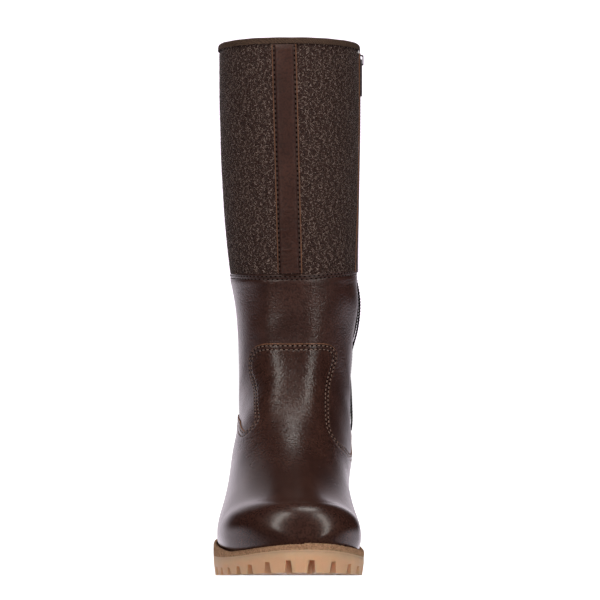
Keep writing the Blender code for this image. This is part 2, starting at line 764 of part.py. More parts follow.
def make_pull(form):
    """Pull tab hanging from the bridge: a frame round the bridge, and a flared plate with a slot."""
    top = PULL_THICK / 2
    outline = [(-2.6, top), (2.6, top), (3.0, top - 0.5), (3.0, -8.0), (PULL_WIDTH / 2, -PULL_LENGTH + 2.5),
               (PULL_WIDTH / 2 - 1.2, -PULL_LENGTH), (-PULL_WIDTH / 2 + 1.2, -PULL_LENGTH),
               (-PULL_WIDTH / 2, -PULL_LENGTH + 2.5), (-3.0, -8.0), (-3.0, top - 0.5)]
    window = round_box(1.7, -top, -6.4, 0.4)
    slot = round_box(1.7, -PULL_LENGTH + 9.0, -PULL_LENGTH + 3.0, 0.6)
    pull = flat_piece("zip_pull", [outline, window, slot], PULL_THICK, GUNMETAL)
    pull.location = place(ZIP_ALONG, form - SLIDER_SUNK + SLIDER_THICK + CLEARANCE + top, SLIDER_UP)
    return pull


for thing in list(bpy.data.objects):
    bpy.data.objects.remove(thing)
PARTS = new_collection("winter_boot")
CUTTERS = new_collection("boot_cutters")

slit = (ZIP_ALONG - ZIP_SLIT / 2, ZIP_ALONG + ZIP_SLIT / 2)
ZIP_CUTTER = side_box("zip_slit", slit, (ZIP_FOOT, 450), (0, 120))

make_outsole()
make_welt()
make_insole()
make_vamp()
upper = form_wall("upper", 0, FELT_ROW, 0.0, LEATHER_WALL, LEATHER)
cut(upper, side_box("felt_line", (-60, 200), (FELT_LINE - CLEARANCE, 300), (-120, 120)))
cut(upper, ZIP_CUTTER)
cut(form_wall("shaft", FELT_ROW, COLLAR_ROW, -FELT_SET_BACK, FELT_WALL, FELT), ZIP_CUTTER)
make_strip()
cut(make_binding(), ZIP_CUTTER)
make_zip()
form_face = form_across(ZIP_ALONG, SLIDER_UP)
make_slider(form_face)
make_pull(form_face)
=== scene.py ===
"""Looks of the winter boot: leather, felt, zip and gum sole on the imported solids.

Sizes are in millimetres. Along runs from the back of the heel to the toe, across towards the inner
side and up from the floor, as in the part's own tables, and they become metres where a mesh is made.
"""
import math
from collections import namedtuple

import bpy
import numpy as np
from mathutils import Matrix, Vector
from mathutils.kdtree import KDTree


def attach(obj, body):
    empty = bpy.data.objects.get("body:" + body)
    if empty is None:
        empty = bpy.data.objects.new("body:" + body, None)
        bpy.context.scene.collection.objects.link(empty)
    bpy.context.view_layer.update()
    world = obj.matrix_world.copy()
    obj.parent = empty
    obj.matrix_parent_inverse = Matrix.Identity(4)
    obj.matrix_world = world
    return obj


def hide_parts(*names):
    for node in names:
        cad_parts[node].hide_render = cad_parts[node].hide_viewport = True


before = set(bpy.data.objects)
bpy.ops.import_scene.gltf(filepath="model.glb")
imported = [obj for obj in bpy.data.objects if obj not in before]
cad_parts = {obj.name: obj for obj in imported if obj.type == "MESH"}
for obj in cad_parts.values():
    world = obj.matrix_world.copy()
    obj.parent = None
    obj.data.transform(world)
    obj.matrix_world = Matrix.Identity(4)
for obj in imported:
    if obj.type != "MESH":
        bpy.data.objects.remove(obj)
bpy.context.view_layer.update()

MM = 0.001

# Sizes of the part, in millimetres
UPPER_LENGTH = 272.0
HEEL_ROUND = 40.0
TOE_ROUND = 80.0
HEEL_POWER = 2.25
TOE_POWER = 1.9
LEATHER_WALL = 3.0
FELT_WALL = 2.4
FELT_SET_BACK = 0.6
OVERLAY = 1.0
CLEARANCE = 0.3
TOE_RISE = 0.22
SOLE_MARGIN = 5.2
WELT_THICK = 5.0
WELT_INSIDE = 9.0
BINDING_DROP = 1.2
BINDING_RISE = 3.4
STRIP_WIDTH = 18.0
ZIP_ALONG = 54.0
ZIP_FOOT = 92.0
ZIP_SLIT = 11.0
ZIP_TOP = 377.0
TAPE_WIDTH = 26.0
TAPE_THICK = 0.8
FACING_WIDTH = 9.0
FACING_FLARE = 11.0
FLARE_LENGTH = 80.0
MIDDLE_ALONG = 136.0
MIDDLE_ACROSS = -2.6

# Sizes of the looks, in millimetres where they are lengths
ROW_STEPS = 10
FELT_STEPS = 40
COLUMNS = 110
SOFTENING = 26
COVERED_ROW = 7
RIM_PROFILE = 18
WELT_STEPS = 420
TOOTH_PITCH = 1.15
TOOTH_SHIFT = 1.05
TOOTH_HALF = (1.9, 0.78, 0.75)
TOOTH_SUNK = 2.25
FIBRES = 48000
FIBRE_LENGTH = (0.8, 2.5)
FIBRE_WIDTH = (0.12, 0.27)
FIBRE_LIFT = (0.05, 0.35)
FIBRE_BEND = 0.35
VAMP_RAW = 0.36
STRIP_RAW = 8.54
STRIP_PAD = 6.7
STRIP_FRONT = 90.0

# Gap under a piece that lies on another, and the distance given to points on another side
SEAT = 0.05
FAR = 99.0

# Stitches: their pitch, length and width along a row, and the reach of the near-black disc painted as the
# shade of a needle hole
STITCH_LIFT = 0.28
STITCH_RINGS = 6
STITCH_SIDES = 6
HOLE_SHADE_LIFT = 0.13
HOLE_SHADE_SHIFT = 0.15
HOLE_SHADE_SIDES = 8
Stitch = namedtuple("Stitch", "pitch length width hole")
VAMP_STITCH = Stitch(3.6, 2.7, 0.95, 0.5)
UPPER_STITCH = Stitch(3.6, 2.8, 0.85, 0.5)
SLIT_STITCH = Stitch(2.4, 1.8, 0.6, 0.45)
STRIP_STITCH = Stitch(3.5, 2.5, 1.0, 0.55)
FACING_STITCH = Stitch(2.4, 1.7, 0.65, 0.45)

# Distances of the rows of stitches from the edge, or from the middle of the strip
VAMP_ROWS = (1.7, 4.6)
UPPER_ROWS = (1.3, 3.4)
SLIT_ROW = 2.4
STRIP_ROW = 7.4
FACING_ROW = 2.2

Plan = namedtuple("Plan", "along half centre edge_up")
PLAN = (
    Plan(0, 31.0, 0.0, 38.5),
    Plan(40, 31.8, -0.5, 38.0),
    Plan(80, 32.5, -2.4, 34.8),
    Plan(115, 36.5, -4.4, 28.5),
    Plan(150, 43.0, -5.2, 22.6),
    Plan(182, 47.3, -4.6, 20.3),
    Plan(215, 48.2, -2.4, 21.2),
    Plan(245, 50.0, 3.0, 25.6),
    Plan(272, 48.5, 7.0, 32.4),
)

# Rise of the welt's lip along the outer side of the foot
LipRise = namedtuple("LipRise", "along rise")
LIP_RISE = (
    LipRise(-10, 0.0),
    LipRise(110, 0.0),
    LipRise(150, 2.4),
    LipRise(182, 4.4),
    LipRise(212, 2.4),
    LipRise(240, -1.5),
    LipRise(262, -1.8),
    LipRise(284, 0.0),
)

Foot = namedtuple("Foot", "front_along front_up rear_along full_lateral full_medial widest power")
FOOT = (
    Foot(272.0, 32.6, 272.0, 0.0, 0.0, 0.60, 2.2),
    Foot(271.9, 38.2, 270.2, 3.5, 3.5, 0.60, 2.1),
    Foot(269.8, 44.8, 265.0, 6.5, 6.5, 0.61, 2.15),
    Foot(265.6, 51.0, 256.5, 9.5, 9.5, 0.63, 2.25),
    Foot(257.2, 56.8, 244.0, 12.0, 12.0, 0.66, 2.35),
    Foot(242.5, 59.8, 228.0, 14.0, 14.0, 0.70, 2.25),
    Foot(221.0, 65.6, 208.0, 14.0, 14.0, 0.76, 2.1),
    Foot(196.0, 76.0, 184.0, 12.8, 13.4, 0.80, 2.0),
    Foot(170.0, 91.0, 157.0, 13.0, 17.0, 0.80, 2.0),
    Foot(148.5, 110.0, 126.0, 18.9, 20.0, 0.71, 2.0),
    Foot(133.5, 128.5, 90.0, 26.6, 26.5, 0.61, 2.0),
    Foot(124.5, 144.0, 52.0, 26.8, 28.5, 0.58, 2.0),
    Foot(120.0, 157.0, 20.0, 30.4, 31.4, 0.52, 2.1),
    Foot(118.3, 167.0, 0.0, 41.2, 42.4, 0.48, 2.25),
)

Shaft = namedtuple("Shaft", "front_along front_up rear_along rear_up lateral medial centre widest power")
SHAFT = (
    Shaft(118.0, 174.5, -2.6, 58.0, 41.6, 42.7, -0.2, 0.46, 2.3),
    Shaft(117.8, 182.0, 0.5, 92.0, 41.8, 42.3, 0.0, 0.46, 2.3),
    Shaft(117.6, 190.0, 5.5, 130.0, 42.4, 44.4, 0.0, 0.48, 2.2),
    Shaft(117.6, 200.0, 8.0, 172.0, 44.0, 49.0, 0.0, 0.50, 2.15),
    Shaft(118.4, 213.5, 7.5, 213.5, 47.6, 48.4, -1.2, 0.50, 2.1),
    Shaft(121.0, 262.0, 5.0, 262.0, 50.9, 50.3, -2.7, 0.50, 2.1),
    Shaft(124.5, 325.0, 1.0, 324.0, 53.0, 52.0, -3.4, 0.50, 2.1),
    Shaft(127.0, 383.0, -2.0, 378.5, 53.2, 52.6, -3.9, 0.50, 2.1),
)

HEEL_ROW = len(FOOT) - 1
FELT_ROW = HEEL_ROW + 5
FELT_LINE = SHAFT[4].front_up
COLLAR_ROW = HEEL_ROW + len(SHAFT)

# Corners of the vamp's seam seen from the side
Corner = namedtuple("Corner", "along up radius")
LATERAL_SEAM = (
    Corner(-30, 106, 0),
    Corner(20, 107, 25),
    Corner(70, 106.5, 40),
    Corner(104, 105, 30),
    Corner(152, 96, 5),
    Corner(99.5, 139, 12),
    Corner(97.5, 163, 17),
    Corner(330, 163, 0),
)
MEDIAL_SEAM = (
    Corner(-30, 106, 0),
    Corner(24, 106, 25),
    Corner(66, 79, 20),
    Corner(100, 80, 20),
    Corner(141, 94, 8),
    Corner(104.5, 147, 14),
    Corner(102.5, 163, 11),
    Corner(330, 163, 0),
)
SEAM_BLEND = 12.0

StripEnd = namedtuple("StripEnd", "across up")
STRIP_FOOT = StripEnd(-3.3, FELT_LINE + 1.0)
STRIP_TOP = StripEnd(-7.7, 381.3)

# Soft creases on the front: a line of points across and up, its depth and its width
Crease = namedtuple("Crease", "points depth width")
UPPER_CREASES = (
    Crease(((-26, 188), (-8, 191), (6, 194), (20, 199)), 0.22, 6.0),
    Crease(((-40, 176), (-28, 181), (-14, 183)), 0.22, 5.0),
    Crease(((40, 204), (26, 198), (14, 188), (4, 180)), 0.22, 6.5),
)
VAMP_CREASES = (
    Crease(((-16, 121), (-5, 118.5), (6, 118), (16, 121)), 0.10, 1.6),
    Crease(((-18, 127), (-4, 124), (10, 124), (18, 127)), 0.08, 1.4),
    Crease(((-16, 114), (-6, 111.5), (4, 111), (14, 114)), 0.08, 1.6),
    Crease(((-14, 132.5), (0, 130.5), (12, 132)), 0.06, 1.3),
)

# Flatter front of the ankle, ridge round the top of the toe, and the bends of the zip
FrontFlat = namedtuple("FrontFlat", "across half sink shoulder low low_full high_full high rear rear_full")
FRONT_FLAT = FrontFlat(-2.2, 18.0, 1.5, 0.6, 98.0, 124.0, 160.0, 212.0, 80.0, 100.0)
ToeRidge = namedtuple("ToeRidge", "along across bend width height low low_full")
TOE_RIDGE = ToeRidge(256.0, 3.0, 0.0105, 10.0, 1.2, 34.0, 48.0)
ZipBend = namedtuple("ZipBend", "up reach amount")
ZIP_SINKS = (
    ZipBend(184.0, 28.0, 1.9),
    ZipBend(114.0, 21.0, 1.7),
)
ZIP_BULGES = (
    ZipBend(184.0, 28.0, 2.9),
    ZipBend(111.0, 28.0, 2.6),
)


def smooth(knots, values, at):
    """Smooth curve through the values at the knots, read at one or more places."""
    knots = np.asarray(knots, dtype=float)
    values = np.asarray(values, dtype=float)
    at = np.asarray(at, dtype=float)
    slopes = np.gradient(values, knots, axis=0)
    index = np.clip(np.searchsorted(knots, at) - 1, 0, len(knots) - 2)
    gap = knots[index + 1] - knots[index]
    t = (at - knots[index]) / gap
    if values.ndim == 2:
        gap = gap[..., None]
        t = t[..., None]
    start = (2 * t**3 - 3 * t**2 + 1) * values[index] + (t**3 - 2 * t**2 + t) * gap * slopes[index]
    end = (3 * t**2 - 2 * t**3) * values[index + 1] + (t**3 - t**2) * gap * slopes[index + 1]
    return start + end


def plan_row(along):
    """Plan half width, centre line and edge height at distances from the heel."""
    inside = np.clip(along, 0.0, UPPER_LENGTH)
    values = smooth([row.along for row in PLAN], [row[1:] for row in PLAN], inside)
    return Plan(inside, values[..., 0], values[..., 1], values[..., 2])


def end_cap(share, power):
    """Share of the full width near a rounded end, from 0 at the tip to 1."""
    left = 1.0 - np.clip(share, 0.0, 1.0)
    return (1.0 - left**power) ** (1.0 / power)


def plan_half(along, margin=0.0):
    """Half width of the sole's plan, widened all round by a margin."""
    heel = end_cap((along + margin) / (HEEL_ROUND + margin), HEEL_POWER)
    toe = end_cap((UPPER_LENGTH + margin - along) / (TOE_ROUND + margin), TOE_POWER)
    return (plan_row(along).half + margin) * heel * toe


def edge_up(along):
    """Height of the upper's lower edge, which is the top of the welt and rises on past the toe."""
    row = plan_row(along)
    return row.edge_up + TOE_RISE * np.maximum(along - row.along, 0.0)


def lip_rise(along):
    """Rise of the welt's lip at distances from the heel, on the outer side."""
    return smooth([row.along for row in LIP_RISE], [row.rise for row in LIP_RISE], along)


def section_row(at):
    """Front point, rear point, half widths and shape of the section at one place in the tables."""
    table = []
    for row in FOOT:
        plan = plan_row(row.rear_along)
        table.append((row.front_along, row.front_up, row.rear_along, plan.edge_up,
                      row.full_lateral, row.full_medial, plan.centre, row.widest, row.power))
    for row in SHAFT:
        table.append(tuple(row))
    values = smooth(range(len(table)), table, at)
    sole_half = 0.0
    if at < HEEL_ROW:
        rear = min(max(values[2], 0.0), UPPER_LENGTH)
        values[2] = rear
        values[3] = edge_up(rear)
        values[6] = plan_row(rear).centre
        sole_half = float(plan_half(rear))
    return values, sole_half


def half_section(depth, half, rear_half, widest, power, columns):
    """Evenly spaced points of one side of a section: share from front to rear, and half width."""
    if depth < 1e-6 or half < 1e-6:
        return np.zeros((columns + 1, 2))
    ratio = min(rear_half / half, 0.9999)
    reach = (1.0 - widest) / (1.0 - ratio**power) ** (1.0 / power)
    front = np.linspace(0.0, math.pi / 2, 300)
    rear = np.linspace(0.0, math.acos(ratio ** (power / 2)), 300)[1:]
    share = np.concatenate((widest * (1.0 - np.cos(front) ** (2 / power)),
                            widest + reach * np.sin(rear) ** (2 / power)))
    width = half * np.concatenate((np.sin(front) ** (2 / power), np.cos(rear) ** (2 / power)))
    steps = np.hypot(np.diff(share) * depth, np.diff(width))
    walked = np.concatenate(((0.0,), np.cumsum(steps)))
    even = np.linspace(0.0, walked[-1], columns + 1)
    return np.column_stack((np.interp(even, walked, share), np.interp(even, walked, width)))


def section_points(at, columns):
    """One section of the form, from its lateral end over the front to its medial end."""
    values, sole_half = section_row(at)
    front_along, front_up, rear_along, rear_up, lateral, medial, centre, widest, power = values
    depth = math.hypot(rear_along - front_along, rear_up - front_up)
    sides = []
    for sign, full in ((-1.0, lateral), (1.0, medial)):
        half = math.hypot(sole_half, full)
        side = half_section(depth, half, sole_half, widest, power, columns)
        points = np.column_stack((front_along + side[:, 0] * (rear_along - front_along),
                                  centre + sign * side[:, 1],
                                  front_up + side[:, 0] * (rear_up - front_up)))
        sides.append(points)
    return np.concatenate((sides[0][::-1], sides[1][1:]))


def form_grid():
    """Fine sections of the whole form, softened where the foot turns into the shaft, and their rows."""
    rows = np.concatenate((np.arange(0, FELT_ROW, 1 / ROW_STEPS),
                           np.linspace(FELT_ROW, COLLAR_ROW, (COLLAR_ROW - FELT_ROW) * FELT_STEPS + 1)))
    grid = np.array([section_points(at, COLUMNS) for at in rows])
    share = np.clip(rows - 1.0, 0.0, 1.0) * np.clip(FELT_ROW - 0.3 - rows, 0.0, 1.0)
    share = 0.5 * share[1:-1, None, None]
    for _ in range(SOFTENING):
        middle = (grid[:-2] + grid[2:]) / 2
        grid[1:-1] += share * (middle - grid[1:-1])
    return rows, grid


class Skin:
    """Open surface of triangles facing outwards, with a normal and named measures at each point."""

    def __init__(self, points, normals, triangles):
        self.points = points
        self.normals = normals
        self.triangles = triangles
        self.measures = {}

    def split(self, name, *levels):
        """Cuts the triangles along levels of a measure, so that edges follow them."""
        for level in levels:
            self.split_once(name, level)

    def split_once(self, name, level):
        """Cuts the triangles along one level of a measure."""
        measure = self.measures[name]
        measure[np.abs(measure - level) < 0.02] = level
        values = measure - level
        corner = values[self.triangles]
        crossed = (corner.min(axis=1) < 0) & (corner.max(axis=1) > 0)
        triangles = self.triangles[~crossed].tolist()
        pairs = []
        shares = []
        made = {}

        def between(one, two):
            key = (min(one, two), max(one, two))
            if key not in made:
                made[key] = len(values) + len(pairs)
                pairs.append(key)
                shares.append(values[key[0]] / (values[key[0]] - values[key[1]]))
            return made[key]

        for triangle in self.triangles[crossed]:
            ring = []
            for one, two in zip(triangle, np.roll(triangle, -1)):
                ring.append((one, values[one]))
                if values[one] * values[two] < 0:
                    ring.append((between(one, two), 0.0))
            for sign in (1.0, -1.0):
                side = [index for index, value in ring if value * sign >= 0]
                for second, third in zip(side[1:], side[2:]):
                    triangles.append((side[0], second, third))
        self.triangles = np.array(triangles, dtype=int)
        if pairs:
            pairs = np.array(pairs)
            shares = np.array(shares)
            self.points = self.grown(self.points, pairs, shares)
            self.normals = unit(self.grown(self.normals, pairs, shares))
            for key in self.measures:
                self.measures[key] = self.grown(self.measures[key], pairs, shares)

    @staticmethod
    def grown(values, pairs, shares):
        """Values with those of new points between pairs of points added."""
        shares = shares.reshape((-1,) + (1,) * (values.ndim - 1))
        added = values[pairs[:, 0]] * (1 - shares) + values[pairs[:, 1]] * shares
        return np.concatenate((values, added))

    def keep(self, name, low=-np.inf, high=np.inf):
        """Keeps the triangles whose measure lies between two levels, cut along them."""
        levels = [level for level in (low, high) if np.isfinite(level)]
        self.split(name, *levels)
        middle = self.measures[name][self.triangles].mean(axis=1)
        self.drop(~((middle > low) & (middle < high)))

    def drop(self, gone):
        """Takes triangles out, and the points that only they used."""
        kept = self.triangles[~gone]
        used, inverse = np.unique(kept, return_inverse=True)
        self.points = self.points[used]
        self.normals = self.normals[used]
        self.measures = {key: value[used] for key, value in self.measures.items()}
        self.triangles = inverse.reshape(-1, 3)

    def lines(self, name, level):
        """Chains of points along one level of a measure that the triangles were cut at."""
        on = np.abs(self.measures[name] - level) < 1e-6
        edges = np.concatenate([self.triangles[:, pair] for pair in ((0, 1), (1, 2), (2, 0))])
        edges = np.unique(np.sort(edges[on[edges].all(axis=1)], axis=1), axis=0)
        return chains(edges)

    def borders(self):
        """Edges with a triangle on one side only, in that triangle's direction."""
        edges = np.concatenate([self.triangles[:, pair] for pair in ((0, 1), (1, 2), (2, 0))])
        order = np.sort(edges, axis=1)
        _, first, count = np.unique(order, axis=0, return_index=True, return_counts=True)
        return edges[first[count == 1]]


def chains(edges):
    """Ordered lists of points from edges that join end to end."""
    links = {}
    for one, two in edges:
        links.setdefault(int(one), []).append(int(two))
        links.setdefault(int(two), []).append(int(one))
    starts = [key for key, ends in links.items() if len(ends) == 1] + list(links)
    seen = set()
    found = []
    for start in starts:
        if start in seen:
            continue
        chain = [start]
        seen.add(start)
        while True:
            onward = [point for point in links[chain[-1]] if point not in seen]
            if not onward:
                break
            chain.append(onward[0])
            seen.add(onward[0])
        if len(chain) > 2 and chain[0] in links[chain[-1]]:
            chain.append(chain[0])
        found.append(chain)
    return [chain for chain in found if len(chain) > 3]


def form_skin(first, last, needed=True):
    """Skin of the form between two rows, closed at the back line of the shaft."""
    chosen = (ROWS >= first - 1e-6) & (ROWS <= last + 1e-6) & needed
    points = GRID[chosen]
    places = ROWS[chosen]
    count, width = points.shape[:2]
    index = np.arange(count * width).reshape(count, width)
    index[places >= HEEL_ROW, -1] = index[places >= HEEL_ROW, 0]
    near, far = index[:-1], index[1:]
    quads = np.stack((near[:, :-1], near[:, 1:], far[:, 1:], far[:, :-1]), axis=-1).reshape(-1, 4)
    flat = points.reshape(-1, 3)
    even = np.linalg.norm(flat[quads[:, 1]] - flat[quads[:, 3]], axis=1) < np.linalg.norm(
        flat[quads[:, 0]] - flat[quads[:, 2]], axis=1)
    triangles = np.concatenate((quads[even][:, [0, 1, 3]], quads[even][:, [1, 2, 3]],
                                quads[~even][:, [0, 1, 2]], quads[~even][:, [0, 2, 3]]))
    facing = face_normals(flat, triangles)
    real = np.linalg.norm(facing, axis=1) > 1e-6
    triangles = triangles[real]
    normals = np.zeros_like(flat)
    for corner in range(3):
        np.add.at(normals, triangles[:, corner], facing[real])
    length = np.linalg.norm(normals, axis=1)
    normals[length > 0] /= length[length > 0][:, None]
    skin = Skin(flat, normals, triangles)
    skin.drop(np.zeros(len(triangles), dtype=bool))
    return skin


def rounded_path(corners):
    """Points of a path in the side view with its corners rounded."""
    points = [(corners[0].along, corners[0].up)]
    for before, corner, after in zip(corners, corners[1:], corners[2:]):
        middle = np.array((corner.along, corner.up), dtype=float)
        back = unit(np.array((before.along, before.up)) - middle)
        ahead = unit(np.array((after.along, after.up)) - middle)
        turn = math.acos(float(np.clip(back @ ahead, -1.0, 1.0)))
        reach = corner.radius / math.tan(turn / 2)
        centre = middle + (back + ahead) / np.linalg.norm(back + ahead) * corner.radius / math.sin(turn / 2)
        start = middle + back * reach - centre
        end = middle + ahead * reach - centre
        sweep = math.pi - turn
        for share in np.linspace(0.0, 1.0, 13):
            spoke = start * math.sin((1 - share) * sweep) + end * math.sin(share * sweep)
            points.append(tuple(centre + spoke / math.sin(sweep)))
    points.append((corners[-1].along, corners[-1].up))
    return np.array(points)


def line_distance(points, line):
    """Distance of flat points from an open line of points."""
    best = np.full(len(points), np.inf)
    for start, end in zip(line, line[1:]):
        run = end - start
        length = run @ run
        if length < 1e-12:
            continue
        share = np.clip((points - start) @ run / length, 0.0, 1.0)
        best = np.minimum(best, np.linalg.norm(points - start - share[:, None] * run, axis=1))
    return best


def seam_measure(points, seam):
    """Signed distance in the side view from a seam, positive on the vamp's side below it."""
    line = rounded_path(seam)
    flat = points[:, [0, 2]]
    ring = np.concatenate((line, [(330.0, 450.0), (-30.0, 450.0)]))
    inside = np.zeros(len(flat), dtype=bool)
    for start, end in zip(ring, np.roll(ring, -1, axis=0)):
        rising = (start[1] > flat[:, 1]) != (end[1] > flat[:, 1])
        if start[1] != end[1]:
            meet = start[0] + (flat[:, 1] - start[1]) * (end[0] - start[0]) / (end[1] - start[1])
            inside ^= rising & (flat[:, 0] < meet)
    return np.where(inside, -1.0, 1.0) * line_distance(flat, line)


def vamp_measure(points):
    """Signed distance from the vamp's seam, which passes from one side's line to the other's in front."""
    share = np.clip((points[:, 1] + SEAM_BLEND) / (2 * SEAM_BLEND), 0.0, 1.0)
    return seam_measure(points, LATERAL_SEAM) * (1 - share) + seam_measure(points, MEDIAL_SEAM) * share


def walked_length(points):
    """Length walked along a line up to each of its points."""
    return np.concatenate(((0.0,), np.cumsum(np.linalg.norm(np.diff(points, axis=0), axis=1))))


def even_line(points, step):
    """Points along a line at an even step."""
    walked = walked_length(points)
    places = np.linspace(0.0, walked[-1], max(int(round(walked[-1] / step)), 2) + 1)
    return np.column_stack([np.interp(places, walked, points[:, axis]) for axis in range(points.shape[1])])


def true_distance(points, lines):
    """Distance of points in space from lines on the surface."""
    dense = np.concatenate([even_line(line, 0.25) for line in lines])
    tree = KDTree(len(dense))
    for index, point in enumerate(dense):
        tree.insert(point, index)
    tree.balance()
    return np.array([tree.find(point)[2] for point in points])


def crease_depth(points, creases):
    """Soft troughs, and the low ridges beside them, on the boot's front."""
    depth = np.zeros(len(points))
    flat = points[:, [1, 2]]
    front = np.clip((points[:, 0] - 60.0) / 25.0, 0.0, 1.0)
    for crease in creases:
        line = even_line(smooth(range(len(crease.points)), np.array(crease.points, dtype=float),
                                np.linspace(0, len(crease.points) - 1, 25)), 1.0)
        away = line_distance(flat, line) / crease.width
        depth += crease.depth * (0.45 * hump(away, 1.9, 1.0) - hump(away, 0.0, 1.0))
    return depth * front


def unit(vectors):
    """Vectors of length 1 in the same directions."""
    return vectors / np.linalg.norm(vectors, axis=-1, keepdims=True)


def face_normals(points, triangles):
    """Normals of triangles, as long as twice their areas."""
    sides = points[triangles]
    return np.cross(sides[:, 1] - sides[:, 0], sides[:, 2] - sides[:, 0])


def circle(centre, one, two, count):
    """Loop of points round a centre, from its two half axes."""
    turns = 2 * math.pi * np.arange(count)[:, None] / count
    return centre + one * np.cos(turns) + two * np.sin(turns)


def ring_faces(rings, around, base=0, flipped=False, joined=False):
    """Faces between closed rings of points, and from the last ring to the first where they are joined."""
    faces = []
    for ring in range(rings if joined else rings - 1):
        one = base + ring * around
        two = base + (ring + 1) % rings * around
        for step in range(around):
            after = (step + 1) % around
            face = (one + step, one + after, two + after, two + step)
            faces.append((face[0], face[3], face[2], face[1]) if flipped else face)
    return faces


def hump(value, middle, width):
    """Rise to 1 at a middle value that fades over a width."""
    return np.exp(-((value - middle) / width) ** 2)


def rolled_edge(edge, width):
    """Fall from 0 to -1 at a cut edge, rounded over a width."""
    return np.clip(edge / width, 0.0, 1.0) ** 0.5 - 1


def step_up(value, low, high):
    """Smooth step from 0 at low to 1 at high."""
    share = np.clip((value - low) / (high - low), 0.0, 1.0)
    return share * share * (3 - 2 * share)


def waves(points, size, seed):
    """Smooth waviness between about -1 and 1 with features of one size."""
    draw = np.random.default_rng(seed)
    total = np.zeros(len(points))
    for _ in range(9):
        direction = draw.normal(size=3)
        direction *= 2 * math.pi / (size * draw.uniform(0.8, 1.8)) / np.linalg.norm(direction)
        total += np.sin(points @ direction + draw.uniform(0, 2 * math.pi))
    return total / 3.2


def to_metres(points):
    """Metres in the boot's frame from along, across and up in millimetres."""
    points = np.asarray(points, dtype=float)
    return np.column_stack((points[:, 1] - MIDDLE_ACROSS, MIDDLE_ALONG - points[:, 0], points[:, 2])) * MM


def add_piece(name, points, faces, materials, body="boot", replaced=(), indices=None):
    """Piece of the boot from points in millimetres and faces, riding on a body."""
    mesh = bpy.data.meshes.new(name)
    mesh.from_pydata(to_metres(points).tolist(), [], [list(map(int, face)) for face in faces])
    for material in materials:
        mesh.materials.append(material)
    if indices is not None:
        mesh.polygons.foreach_set("material_index", np.asarray(indices, dtype=np.int32))
    mesh.polygons.foreach_set("use_smooth", np.ones(len(mesh.polygons), dtype=bool))
    mesh.update()
    mesh.set_sharp_from_angle(angle=math.radians(50))
    thing = bpy.data.objects.new(name, mesh)
    bpy.context.scene.collection.objects.link(thing)
    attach(thing, body)
    if replaced:
        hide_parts(*replaced)
    return thing


def add_shell(name, skin, out, thick, materials, replaced, bare=False):
    """Closed shell of a skin: outer face, inner face and rim, whose finish bare points share."""
    count = len(skin.points)
    out = np.broadcast_to(out, count)
    outer = skin.points + skin.normals * out[:, None]
    inner = skin.points + skin.normals * (out - thick)[:, None]
    rim = skin.borders()
    faces = skin.triangles.tolist() + (skin.triangles[:, ::-1] + count).tolist()
    faces += [(two, one, one + count, two + count) for one, two in rim]
    bare = np.broadcast_to(bare, count)[skin.triangles].mean(axis=1) > 0.5
    indices = np.concatenate((np.where(bare, 2, 0), np.full(len(bare), 1), np.full(len(rim), 2)))
    points = np.concatenate((outer, inner))
    return add_piece(name, points, faces, materials, "boot", replaced, indices)


class Nodes:
    """Short calls that add nodes to a tree."""

    def __init__(self, tree):
        self.tree = tree

    def put(self, socket, value):
        """Sets a socket to a value or links another node's output to it."""
        if isinstance(value, bpy.types.NodeSocket):
            self.tree.links.new(value, socket)
        elif isinstance(value, tuple) and len(value) == 3 and socket.type == "RGBA":
            socket.default_value = (*value, 1.0)
        else:
            socket.default_value = value

    def node(self, kind, inputs, **settings):
        """New node with its settings and inputs."""
        made = self.tree.nodes.new("ShaderNode" + kind)
        for key, value in settings.items():
            setattr(made, key, value)
        for key, value in inputs.items():
            self.put(made.inputs[key], value)
        return made

    def sum(self, operation, *values):
        """Arithmetic of two or three values."""
        return self.node("Math", dict(enumerate(values)), operation=operation).outputs[0]

    def ranged(self, value, low, high, start=0.0, end=1.0):
        """Value moved smoothly from one range to another, clamped."""
        inputs = {"Value": value, "From Min": low, "From Max": high, "To Min": start, "To Max": end}
        return self.node("MapRange", inputs, interpolation_type="SMOOTHSTEP").outputs["Result"]


